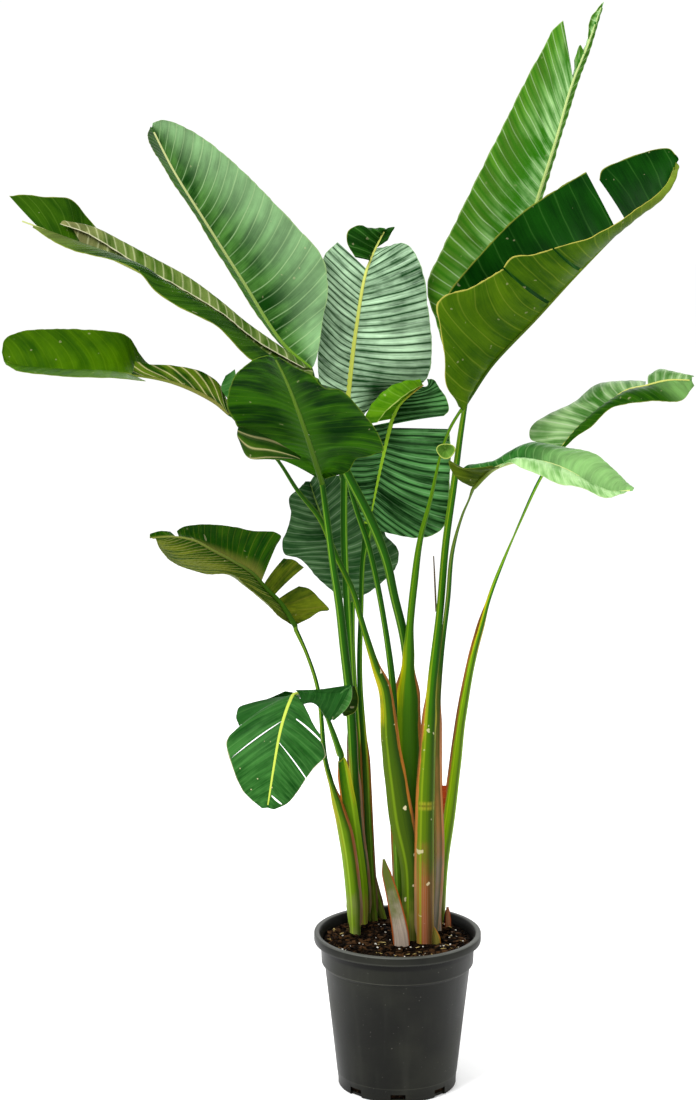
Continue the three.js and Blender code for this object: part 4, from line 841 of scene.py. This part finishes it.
class Line:
    """A smooth line through points in millimetres, read in metres by its share of length.

    Its bends are weighted by the root of each step's length, so it doesn't overshoot where points lie close.
    """

    def __init__(self, points, pieces=24):
        knots = np.array([p[:3] for p in points], float) * MM
        padded = np.vstack([2 * knots[0] - knots[1], knots, 2 * knots[-1] - knots[-2]])
        share = np.linspace(0, 1, pieces, endpoint=False)[:, None]
        runs = []
        for p0, p1, p2, p3 in zip(padded, padded[1:], padded[2:], padded[3:]):
            d0, d1, d2 = (max(np.linalg.norm(b - a), 1e-9) ** 0.5 for a, b in ((p0, p1), (p1, p2), (p2, p3)))
            start = ((p1 - p0) / d0 - (p2 - p0) / (d0 + d1) + (p2 - p1) / d1) * d1
            end = ((p2 - p1) / d1 - (p3 - p1) / (d1 + d2) + (p3 - p2) / d2) * d1
            square = -3 * p1 + 3 * p2 - 2 * start - end
            cube = 2 * p1 - 2 * p2 + start + end
            runs.append(p1 + start * share + square * share**2 + cube * share**3)
        self.points = np.vstack([*runs, knots[-1:]])
        steps = np.linalg.norm(np.diff(self.points, axis=0), axis=1)
        travelled = np.concatenate([[0], np.cumsum(steps)])
        self.length = travelled[-1]
        self.shares = travelled / self.length
        self.knot_shares = self.shares[::pieces]

    def at(self, share):
        share = np.asarray(share, float)
        return np.stack([np.interp(share, self.shares, self.points[:, k]) for k in range(3)], axis=-1)

    def heading(self, share, reach=0.006):
        share = np.asarray(share, float)
        return unit(self.at(np.minimum(share + reach, 1)) - self.at(np.maximum(share - reach, 0)))


def unit(vectors):
    return vectors / np.maximum(np.linalg.norm(vectors, axis=-1, keepdims=True), 1e-12)


def smooth(value):
    value = np.clip(value, 0, 1)
    return value * value * (3 - 2 * value)


def spread(*parts):
    """Coordinates given along, across or as one number, as one grid of triples."""
    return np.stack(np.broadcast_arrays(*parts), axis=-1)


def wander(place, seed, waves=5):
    """A smooth seeded wandering between -1 and 1 along a line."""
    draw = random.Random(seed)
    total = np.zeros_like(place)
    for k in range(waves):
        pitch, start = (k + 1) * draw.uniform(0.7, 1.3), draw.uniform(0, 6.28)
        total += math.cos(k) * np.sin(place * pitch + start) / (k + 1)
    return total / 1.6


def grid_piece(name, places, grown, closed=False, caps=False):
    """A grid primitive with its corners set to places: rows along, columns across, or round if closed."""
    rows, columns = places.shape[:2]
    bpy.ops.object.select_all(action="DESELECT")
    bpy.ops.mesh.primitive_grid_add(x_subdivisions=columns - 1, y_subdivisions=rows - 1, size=1)
    piece = bpy.context.object
    piece.name = name
    mesh = piece.data
    mesh.vertices.foreach_set("co", places.reshape(-1))
    own = mesh.attributes.new("grown", "FLOAT_VECTOR", "POINT")
    own.data.foreach_set("vector", grown.reshape(-1))
    while mesh.uv_layers:
        mesh.uv_layers.remove(mesh.uv_layers[0])
    if closed:
        build = bmesh.new()
        build.from_mesh(mesh)
        if caps:
            build.verts.ensure_lookup_table()
            for row in (0, rows - 1):
                build.faces.new([build.verts[row * columns + k] for k in range(columns - 1)])
        bmesh.ops.remove_doubles(build, verts=build.verts, dist=1e-7)
        bmesh.ops.recalc_face_normals(build, faces=build.faces)
        build.to_mesh(mesh)
        build.free()
    mesh.update()
    return piece


def open_slits(piece, corners, columns):
    """Deletes the grid faces whose first corners are given."""
    build = bmesh.new()
    build.from_mesh(piece.data)
    build.verts.ensure_lookup_table()
    gone = []
    for row, column in corners:
        around = [build.verts[(row + i) * columns + column + j] for i in (0, 1) for j in (0, 1)]
        gone += [face for face in around[0].link_faces if all(corner in face.verts for corner in around)]
    bmesh.ops.delete(build, geom=gone, context="FACES")
    build.to_mesh(piece.data)
    build.free()


def sheet_piece(name, places, grown, finish, open_faces=(), closed=False):
    """A thin sheet of blade, with its slits, finish and thickness."""
    piece = grid_piece(name, places, grown, closed)
    if open_faces:
        open_slits(piece, open_faces, places.shape[1])
    made = bpy.data.materials.get("blade_" + finish)
    piece.data.materials.append(made or blade_finish(finish, **BLADES[finish]))
    thick = piece.modifiers.new("thickness", "SOLIDIFY")
    thick.thickness = BLADE_THICKNESS
    thick.offset = 0
    bpy.context.view_layer.objects.active = piece
    bpy.ops.object.modifier_apply(modifier=thick.name)
    return piece


def join_pieces(pieces, name):
    """One smooth-shaded piece with its place in its mesh."""
    bpy.ops.object.select_all(action="DESELECT")
    for piece in pieces:
        piece.select_set(True)
    bpy.context.view_layer.objects.active = pieces[0]
    if len(pieces) > 1:
        bpy.ops.object.join()
    joined = bpy.context.object
    joined.name = name
    bpy.ops.object.transform_apply(location=True, rotation=True, scale=True)
    bpy.ops.object.shade_smooth_by_angle(angle=math.radians(60))
    return joined


def dress(piece, slot, *nodes):
    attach(piece, "root")
    if nodes:
        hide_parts(*nodes)


# ---------------------------------------------------------------- leaves


def is_whole(lobe):
    """Whether a lobe runs along most of its midrib."""
    low, high = lobe["span"]
    return high - low > 0.5


def fullness(share):
    """One in the middle of a lobe and nothing at its ends."""
    return np.sqrt(np.maximum(0, np.sin(np.pi * share)))


def blade_surface(lobe, rib, edge, share, t):
    """A lobe bent from its midrib to its edge, over its crest or arch, with soft waves near the edge."""
    low, high = lobe["span"]
    root = low + (high - low) * share
    inner, outer = rib.at(root), edge.at(share)
    tangent = unit(rib.heading(root) + 0.5 * edge.heading(share))
    up = unit(np.cross(outer - inner, tangent)) * lobe["side"]
    if "crest" in lobe:
        middle = Line(lobe["crest"]).at(share)
    else:
        bulge = lobe.get("arch", 0) * MM * (fullness(share) if is_whole(lobe) else np.ones_like(share))
        middle = (inner + outer) / 2 + up * bulge[..., None]
    across = t[..., None]
    places = (inner * (1 - across) * (1 - 2 * across) + middle * 4 * across * (1 - across)
              + outer * across * (2 * across - 1))
    wave = lobe.get("wave", 0) * MM * fullness(share) * t * t * np.sin(TURN * WAVES * share)
    return places + up * wave[..., None]


def blade_grid(leaf, lobe, number):
    """Places and grown coordinates of one lobe from midrib to edge, and the open faces of its slits."""
    rib, edge = Line(leaf["rib"]), Line(lobe["edge"])
    low, high = lobe["span"]
    length = max(edge.length, rib.length * (high - low))
    reach = np.linalg.norm(edge.at(np.linspace(0, 1, 9)) - rib.at(np.linspace(low, high, 9)), axis=-1).max()
    rows = max(8, int(length / ROW_STEP))
    columns = max(8, int(reach * (2 if "crest" in lobe else 1.1) / COLUMN_STEP))
    s = np.linspace(0, 1, rows)[:, None]
    t = np.linspace(0, 1, columns)[None, :]
    sweep = lobe.get("sweep", VEIN_SWEEP if is_whole(lobe) and "crest" not in lobe else 0)
    share = s + sweep * s * (1 - s) * t * t
    t = t * (1 - RAGGED_EDGE * np.abs(wander(s * length / RAGGED_LENGTH, number * 7 + 3)) * t**8)
    places = blade_surface(lobe, rib, edge, share, t)
    along = (low + (high - low) * s) * rib.length
    normal = unit(np.cross(np.gradient(places, axis=1), np.gradient(places, axis=0)))
    spacing = BLADES[lobe["finish"]].get("spacing", 11) * MM
    pleat = lobe.get("pleat", leaf["pleat"]) * MM * np.sin(TURN * along / spacing)
    fade = smooth(t / 0.12) * (1 - 0.5 * t)
    ruffle = RUFFLE * wander(s * length / RUFFLE_LENGTH, number * 11 + 5) * t**4
    places = places + normal * (pleat * fade + ruffle * fullness(share))[..., None]
    grown = spread(along, t, number)
    open_faces = [cut_slit(places, grown, t, *slit) for slit in lobe.get("slits", ())]
    return places, grown, [face for faces in open_faces for face in faces]


def cut_slit(places, grown, t, share, start, end, half_width):
    """Moves two rows of a blade apart into a lens-shaped slit and returns the corners of its open faces."""
    row = int(round(share * (places.shape[0] - 1)))
    part = np.clip((t[row] - start) / (end - start), 0, 1)
    shift = half_width * MM * np.sin(np.pi * part)
    heading = unit(places[row + 1] - places[row])
    for k in range(SLIT_ROWS):
        fade = 1 - k / SLIT_ROWS
        places[row - k] -= heading * (shift * fade)[:, None]
        places[row + 1 + k] += heading * (shift * fade)[:, None]
    inside = np.nonzero((part > 0) & (part < 1))[0]
    grown[row, inside, 1] = grown[row + 1, inside, 1] = TORN_EDGE
    return [(row, k) for k in inside[:-1]]


def rib_frames(leaf, shares):
    """Points, headings and upward directions of the midrib at shares of its length."""
    rib = Line(leaf["rib"])
    across = np.zeros((len(shares), 3))
    for side in (RIGHT, LEFT):
        lobes = [(*lobe["span"], Line(lobe["edge"], 8)) for lobe in leaf["lobes"]
                 if lobe["side"] == side and "crest" not in lobe]
        if not lobes:
            continue
        for k, share in enumerate(np.clip(shares, *RIB_MIDDLE)):
            low, high, edge = min(lobes, key=lambda lobe: max(lobe[0] - share, share - lobe[1], 0))
            part = np.clip((share - low) / (high - low), *RIB_MIDDLE)
            across[k] += side * unit(edge.at(part) - rib.at(share))
    headings = rib.heading(shares)
    return rib.at(shares), headings, unit(np.cross(across, headings)), rib.length


def stalk_widths(line, widths, shares):
    """Widths between those at the line's own points."""
    marks = line.knot_shares
    found = np.clip(np.searchsorted(marks, shares, side="right") - 1, 0, len(marks) - 2)
    part = smooth((shares - marks[found]) / (marks[found + 1] - marks[found]))
    return widths[found] + (widths[found + 1] - widths[found]) * part


def channelled(centre, across, face, width, thickness, groove, lip):
    """Rings of a channelled stalk with thin lips along its sheath, and how far across each corner is."""
    angle = np.linspace(0, TURN, STALK_SIDES + 1)[None, :]
    sideways = np.cos(angle) * width[:, None] / 2
    outwards = np.sin(angle) * thickness[:, None] / 2
    outwards = outwards - groove * thickness[:, None] * np.maximum(np.sin(angle), 0) ** 3
    flare = np.maximum(np.abs(np.cos(angle)) - LIP_START, 0) / (1 - LIP_START)
    sideways = sideways + np.sign(np.cos(angle)) * flare * lip[:, None] * 0.6
    outwards = outwards + flare * lip[:, None] * 0.9
    rings = centre[:, None] + across[:, None] * sideways[..., None] + face[:, None] * outwards[..., None]
    return rings, np.cos(angle)


def stalk_rings(leaf, rib_width):
    """Rings of a leaf's sheath and stalk, their grown coordinates, and how far along the last one is."""
    path = Line([*leaf["stalk"], leaf["rib"][0]])
    steps = int(path.length / (STALK_STEP * MM))
    shares = np.arange(steps) / steps
    centre, heading = path.at(shares), path.heading(shares)
    top = rib_frames(leaf, np.array([0.02]))[2][0]
    turn = smooth((shares - TURN_START) / (1 - TURN_START))[:, None]
    face = np.array([0, leaf["groove"], 0]) * (1 - turn) + top * turn
    across = unit(np.cross(face, heading))
    face = unit(np.cross(heading, across))
    width = stalk_widths(path, np.array([*(p[3] for p in leaf["stalk"]), rib_width]) * MM, shares)
    thickness = np.minimum(width * STALK_FLATNESS, STALK_THICKEST * MM)
    height = centre[:, 2]
    lip = leaf.get("lip", LIP) * MM * smooth((leaf["sheath_top"] * MM - height) / LIP_FADE)
    lip = lip * smooth((height - LIP_FOOT) / LIP_FOOT_FADE)
    rings, sides = channelled(centre, across, face, width, thickness, STALK_GROOVE, lip)
    along = shares * path.length
    return rings, spread(along[:, None], sides, (lip / LIP_UNIT)[:, None]), along[-1]


def rib_rings(leaf, rib_width, start):
    """Rings of a leaf's midrib, which goes on from its stalk, with a third coordinate below zero."""
    count = max(12, int(Line(leaf["rib"]).length / RIB_STEP / MM))
    shares = RIB_END * np.arange(count + 1) / count
    point, heading, up, length = rib_frames(leaf, shares)
    across = unit(np.cross(up, heading))
    width = (rib_width + (RIB_TIP_WIDTH - rib_width) * shares) * MM
    thickness = width * RIB_DEPTH
    centre = point + up * (leaf.get("rib_rise", RIB_RISE) * MM - thickness / 2)[:, None]
    rings, sides = channelled(centre, across, up, width, thickness, RIB_GROOVE, 0 * width)
    return rings, spread(start + shares[:, None] * length, sides, shares[:, None] - 1)


def stem_piece(name, leaf):
    """The sheath, stalk and midrib of a leaf as one tube."""
    rib_width = leaf.get("rib_width", RIB_WIDTH)
    stalk, stalk_grown, top = stalk_rings(leaf, rib_width)
    rib, rib_grown = rib_rings(leaf, rib_width, top)
    places, grown = np.concatenate([stalk, rib]), np.concatenate([stalk_grown, rib_grown])
    piece = grid_piece(name, places, grown, closed=True, caps=True)
    sheath_top = (leaf["sheath_top"] - FOOT_LEVEL) * MM
    piece.data.materials.append(stalk_finish(name, sheath_top, **leaf.get("stalk_look", {})))
    piece.data.materials.append(rib_finish(name, *leaf["rib_look"]))
    coordinates = piece.data.attributes["grown"].data
    for face in piece.data.polygons:
        if all(coordinates[corner].vector[2] < -0.005 for corner in face.vertices):
            face.material_index = 1
    return piece


def leaf_piece(name, leaf):
    """A whole leaf: its stem and its lobes."""
    pieces = [stem_piece(name + "_stem", leaf)]
    for number, lobe in enumerate(leaf["lobes"]):
        places, grown, open_faces = blade_grid(leaf, lobe, number + leaf["seed"])
        pieces.append(sheet_piece(f"{name}_lobe_{number}", places, grown, lobe["finish"], open_faces))
    dress(join_pieces(pieces, "grown_" + name), "leaf", "leaf_" + name)


# ---------------------------------------------------------------- old sheaths

# Points in millimetres, with the width last
SHEATHS = {
    "sheath_cut": dict(
        look=dict(foot=(196, 178, 160), tip=(96, 112, 26), edge=(170, 84, 30)),
        line=[[7, -27, 228, 26], [4, -28, 262, 25], [-8, -29, 320, 19], [-19, -29, 362, 13],
              [-23, -29, 384, 4]]),
    "sheath_dry": dict(
        look=dict(foot=(190, 176, 158), tip=(150, 136, 110), edge=(120, 84, 50)),
        line=[[66, 46, 228, 16], [64, 46, 262, 17], [64, 45, 300, 13], [66, 44, 345, 5]]),
    "sheath_stub_olive": dict(
        look=dict(foot=(150, 140, 60), tip=(120, 136, 30), edge=(176, 120, 40)),
        line=[[62, -14, 228, 15], [61, -14, 246, 14], [56, -14, 268, 3]]),
    "sheath_stub_orange": dict(
        look=dict(foot=(190, 130, 90), tip=(200, 104, 40), edge=(160, 70, 30)),
        line=[[84, 58, 228, 9], [84, 58, 252, 8], [83, 58, 276, 4]]),
}


def sheath_piece(name, sheath):
    """An old sheath: a short channelled tube that narrows to its dry top."""
    line = Line(sheath["line"])
    count = max(14, int(line.length / STRIP_STEP / MM))
    shares = np.linspace(0, 1, count)
    width = np.interp(shares, line.knot_shares, np.array([p[3] for p in sheath["line"]]) * MM)
    thickness = np.maximum(width * SHEATH_FLATNESS, SHEATH_THINNEST)
    heading = line.heading(shares)
    face = np.array([0, 1.0, 0]) + 0 * heading
    across = unit(np.cross(face, heading))
    face = unit(np.cross(heading, across))
    lip = SHEATH_LIP * smooth(shares / 0.2) * smooth((1 - shares) / 0.2)
    rings, sides = channelled(line.at(shares), across, face, width, thickness, SHEATH_GROOVE, lip)
    grown = spread(shares[:, None] * line.length, sides, 0)
    piece = grid_piece("old_" + name, rings, grown, closed=True, caps=True)
    piece.data.materials.append(sheath_finish(name, **sheath["look"]))
    dress(join_pieces([piece], "old_" + name), "dry_sheath", name)


# ---------------------------------------------------------------- torn and dried bits

# Each bit is a strip between two lines, in millimetres, bowed out between them
BITS = {
    "arch_flap": dict(finish="flap", bow=6, lines=[
        [[-160, -140, 687], [-126, -110, 681], [-100, -94, 681], [-75, -86, 683]],
        [[-154, -146, 665], [-135, -128, 664], [-120, -112, 647], [-108, -100, 627]]]),
    "arch_curl": dict(finish="curl_light", bow=3, lines=[
        [[-75, -92, 682], [-88, -96, 676], [-99, -100, 661], [-105, -101, 644], [-103, -99, 631]],
        [[-74, -90, 680], [-74, -92, 664], [-80, -94, 650], [-91, -96, 638], [-102, -98, 629]]]),
    "arch_under": dict(finish="flap_olive", bow=3, lines=[
        [[-72, -84, 680], [-80, -84, 658], [-90, -84, 640], [-86, -82, 632]],
        [[-69, -80, 679], [-64, -80, 660], [-68, -80, 639], [-83, -80, 631]]]),
    "front_curl": dict(finish="dark_curl", bow=6, lines=[
        [[-244, -152, 1097], [-209, -162, 1086], [-172, -168, 1066], [-150, -166, 1052]],
        [[-245, -150, 1078], [-230, -158, 1050], [-202, -162, 1048], [-152, -164, 1050]]]),
    "dry_needle": dict(finish="dry_brown", lines=[
        [[55, 20, 867], [57, 20, 820], [59, 20, 777]],
        [[56, 20, 867], [59, 20, 820], [61, 20, 777]]]),
    "red_scale": dict(finish="dry_red", bow=2, lines=[
        [[66, 8, 494], [68, 8, 474], [68, 8, 447]],
        [[79, 12, 494], [77, 12, 474], [74, 12, 447]]]),
    "torn_back": dict(finish="curl_light", bow=2, lines=[
        [[-266, -92, 1166], [-273, -92, 1147], [-262, -92, 1129]],
        [[-252, -94, 1176], [-248, -94, 1154], [-244, -94, 1132]]]),
}
LEAF_CUP = dict(centre=(70, -80, 1049), half_width=14, half_height=11, depth=12)


def bit_piece(name, bit):
    """A small torn or dried strip between two lines."""
    first, last = (Line(line) for line in bit["lines"])
    rows = max(6, int(first.length / STRIP_STEP / MM))
    s = np.linspace(0, 1, rows)
    t = np.linspace(0, 1, STRIP_COLUMNS)[None, :, None]
    start, end = first.at(s)[:, None], last.at(s)[:, None]
    out = unit(np.cross(end - start, first.heading(s)[:, None]))
    places = start + (end - start) * t + out * bit.get("bow", 1) * MM * 4 * t * (1 - t)
    grown = spread(s[:, None] * first.length, t[..., 0], 0)
    dress(join_pieces([sheet_piece(name, places, grown, bit["finish"])], name), "leaf")


def cup_piece(name, cup):
    """The rolled-up base of a young blade, open to the front."""
    r = np.linspace(0, 1, 12)[:, None]
    a = np.linspace(0, TURN, 49)[None, :]
    x, y, z = cup["centre"]
    ripple = 1 + 0.08 * np.sin(3 * a) * r
    places = spread(x + cup["half_width"] * r * np.cos(a) * ripple,
                    y + cup["depth"] * (1 - r**2) + 3 * r * np.sin(a),
                    z + cup["half_height"] * r * np.sin(a) * ripple) * MM
    grown = spread(a * 0.01, r**0.25, 0)
    dress(join_pieces([sheet_piece(name, places, grown, "leaf_cup", closed=True)], name), "leaf")


# ---------------------------------------------------------------- pot and mix


def pot_radius(height):
    """The radius of the pot's tapering body at a height, in millimetres."""
    return FOOT_RADIUS + (BODY_TOP_RADIUS - FOOT_RADIUS) * (height - FOOT_RING) / (BODY_TOP - FOOT_RING)


def pot_profile():
    """Radius and height of the pot's rings in millimetres, up the outside and down the inside."""
    foot, body, collar, rim = FOOT_RADIUS, pot_radius(BODY_TOP), COLLAR_RADIUS, RIM_RADIUS
    ring, step, band, top = FOOT_RING, COLLAR_BOTTOM, POT_HEIGHT - RIM_BAND, POT_HEIGHT
    outside = [
        (foot - 3, 0), (foot - 1.4, 0.7), (foot - 0.9, 2.4), (foot - 0.2, ring - 1), (foot + 0.6, ring + 0.6),
        (foot + 0.8, ring + 2.4), (pot_radius(BODY_TOP / 2), BODY_TOP / 2), (body - 0.3, BODY_TOP - 1),
        (body + 0.6, BODY_TOP + 0.8), (collar - 0.7, step - 0.6), (collar, step + 0.8),
        (collar + 1.2, band - 2), (collar + 2.4, band - 0.2), (rim - 1.8, band), (rim - 0.5, band + 0.6),
        (rim, band + 2), (rim, top - 2), (rim - 0.6, top - 0.6), (rim - 2, top),
    ]
    inside = [
        (rim - 6.6, top), (rim - 8.2, top - 0.8), (rim - 10, top - 4), (collar + 1.5 - WALL, top - 9),
        (collar - WALL, step + 2), (body - WALL, BODY_TOP - 2), (foot - WALL, 4),
    ]
    return outside + inside


def pot_piece():
    """The pot, extruded ring by ring from its foot, with its drain notches cut out."""
    bpy.ops.object.select_all(action="DESELECT")
    rings = [(radius * MM, height * MM) for radius, height in pot_profile()]
    radius, height = rings[0]
    bpy.ops.mesh.primitive_circle_add(vertices=POT_SIDES, radius=radius, location=(0, 0, height),
                                      fill_type="NGON")
    pot = bpy.context.object
    pot.name = "nursery_pot"
    bpy.ops.object.mode_set(mode="EDIT")
    bpy.ops.mesh.select_all(action="SELECT")
    bpy.ops.mesh.flip_normals()
    for next_radius, next_height in rings[1:]:
        bpy.ops.mesh.extrude_region_move(TRANSFORM_OT_translate={"value": (0, 0, next_height - height)})
        grow = next_radius / radius
        bpy.ops.transform.resize(value=(grow, grow, 1))
        radius, height = next_radius, next_height
    bpy.ops.object.mode_set(mode="OBJECT")
    for number in range(NOTCHES):
        cut_notch(pot, TURN * number / NOTCHES)
    pot.data.materials.append(pot_finish())
    dress(join_pieces([pot], "nursery_pot"), "pot_plastic", "pot")


def cut_notch(pot, turn):
    """Cuts one drain notch into the pot's foot."""
    place = (math.sin(turn) * FOOT_RADIUS * MM, -math.cos(turn) * FOOT_RADIUS * MM, 0)
    bpy.ops.mesh.primitive_cube_add(size=1, location=place, rotation=(0, 0, turn))
    cutter = bpy.context.object
    cutter.scale = [side * MM for side in NOTCH_SIZE]
    bpy.ops.object.transform_apply(location=True, rotation=True, scale=True)
    cut = pot.modifiers.new("notch", "BOOLEAN")
    cut.object = cutter
    cut.operation = "DIFFERENCE"
    bpy.ops.object.select_all(action="DESELECT")
    bpy.context.view_layer.objects.active = pot
    bpy.ops.object.modifier_apply(modifier=cut.name)
    bpy.data.objects.remove(cutter)


def soil_height(x, y):
    """The height of the mix with its mounds."""
    fade = smooth((SOIL_RADIUS + 1 * MM - np.hypot(x, y)) / (20 * MM))
    x, y = x / MM, y / MM
    mound = SOIL_MOUND * (np.sin(x / 19 + 1) * np.cos(y / 23) + 0.5 * np.sin((x + y) / 11))
    return SOIL_TOP + mound * fade


def soil_piece():
    """The mix as one closed body, uneven on top."""
    r = (np.linspace(0, 1, SOIL_RINGS) ** 0.8 * SOIL_RADIUS)[:, None]
    a = np.linspace(0, TURN, SOIL_SPOKES + 1)[None, :]
    x, y = r * np.cos(a), r * np.sin(a)
    lumps = np.zeros_like(x)
    draw = random.Random(11)
    for _ in range(SOIL_LUMPS):
        turn, size = draw.uniform(0, math.pi), draw.uniform(4, 13) * MM
        lumps += np.sin((x * math.cos(turn) + y * math.sin(turn)) / size + draw.uniform(0, 6.28)) * size
    fade = smooth((SOIL_RADIUS - np.hypot(x, y)) / (10 * MM))
    top = spread(x, y, soil_height(x, y) + lumps * 0.02 * fade - SOIL_SINK)[:, ::-1]
    wall = [top[-1:] * [radius / SOIL_RADIUS, radius / SOIL_RADIUS, 0] + [0, 0, height]
            for radius, height in SOIL_WALL]
    places = np.concatenate([top, *wall])
    piece = grid_piece("potting_mix", places, np.zeros_like(places), closed=True)
    piece.data.materials.append(soil_finish())
    dress(join_pieces([piece], "potting_mix"), "potting_mix", "soil")


# Loose bits on the mix: how many, sizes in millimetres, length and flatness by size, and colours.
# A raised bit's middle stands that share of its size above the mix.
CRUMBS = {
    "bark_bits": dict(count=420, sizes=(1.8, 5.0), long=(1.0, 2.0), flat=(0.3, 0.6), seed=3, raised=0.15,
                      look=("bark", (12, 8, 4), (80, 54, 30))),
    "dark_crumbs": dict(count=1100, sizes=(0.9, 3.0), long=(1.0, 1.7), flat=(0.5, 0.9), seed=4, raised=0.15,
                        look=("crumb", (3, 2, 1), (30, 20, 12))),
    "pale_grit": dict(count=60, sizes=(0.9, 2.0), long=(1.0, 1.5), flat=(0.6, 0.9), seed=5, raised=0.8,
                      look=("grit", (206, 200, 186), (240, 236, 226))),
    "straw_bits": dict(count=60, sizes=(0.7, 1.3), long=(2.5, 6.0), flat=(0.5, 0.9), seed=6, raised=1.6,
                       look=("straw", (120, 96, 50), (206, 184, 120))),
}


def rough_grain():
    """One rough grain of radius one, to be copied."""
    bpy.ops.object.select_all(action="DESELECT")
    bpy.ops.mesh.primitive_ico_sphere_add(subdivisions=1, radius=1)
    bpy.ops.object.mode_set(mode="EDIT")
    bpy.ops.mesh.select_all(action="SELECT")
    bpy.ops.transform.vertex_random(offset=0.3, seed=7)
    bpy.ops.object.mode_set(mode="OBJECT")
    return bpy.context.object


def crumb_piece(name, count, sizes, long, flat, seed, raised, look):
    """Loose bits of one kind, clear of the stalks."""
    draw = random.Random(seed)
    feet = [leaf["stalk"][0] for leaf in LEAVES.values()] + [sheath["line"][0] for sheath in SHEATHS.values()]
    grain = rough_grain()
    rough = np.array([corner.co for corner in grain.data.vertices])
    copies = []
    while len(copies) < count:
        radius = SOIL_RADIUS * math.sqrt(draw.random()) * 0.97
        turn = draw.uniform(0, TURN)
        x, y = radius * math.cos(turn), radius * math.sin(turn)
        size = draw.uniform(*sizes) * MM
        if any(math.hypot(x - f[0] * MM, (y - f[1] * MM) * 1.3) < f[3] / 2 * MM + size for f in feet):
            continue
        shape = rough * [size * draw.uniform(*long), size, size * draw.uniform(*flat)]
        lift = float(soil_height(x, y)) + size * raised
        turned = Matrix.Rotation(draw.uniform(0, 6.28), 3, "Z")
        lie = turned @ Matrix.Rotation(draw.uniform(-0.5, 0.5), 3, "X")
        copy = bpy.data.objects.new(name, grain.data.copy())
        bpy.context.scene.collection.objects.link(copy)
        copy.data.vertices.foreach_set("co", (shape @ np.array(lie).T + [x, y, lift]).ravel())
        copies.append(copy)
    bpy.data.objects.remove(grain)
    piece = join_pieces(copies, name)
    piece.data.materials.append(crumb_finish(*look))
    dress(piece, "potting_mix")


# ---------------------------------------------------------------- making

add_camera()
add_studio()
add_floor()
pot_piece()
soil_piece()
for crumb_name, crumb_data in CRUMBS.items():
    crumb_piece(crumb_name, **crumb_data)
for sheath_name, sheath_data in SHEATHS.items():
    sheath_piece(sheath_name, sheath_data)
for leaf_name, leaf_data in LEAVES.items():
    leaf_piece(leaf_name, leaf_data)
for bit_name, bit_data in BITS.items():
    bit_piece(bit_name, bit_data)
cup_piece("leaf_cup", LEAF_CUP)
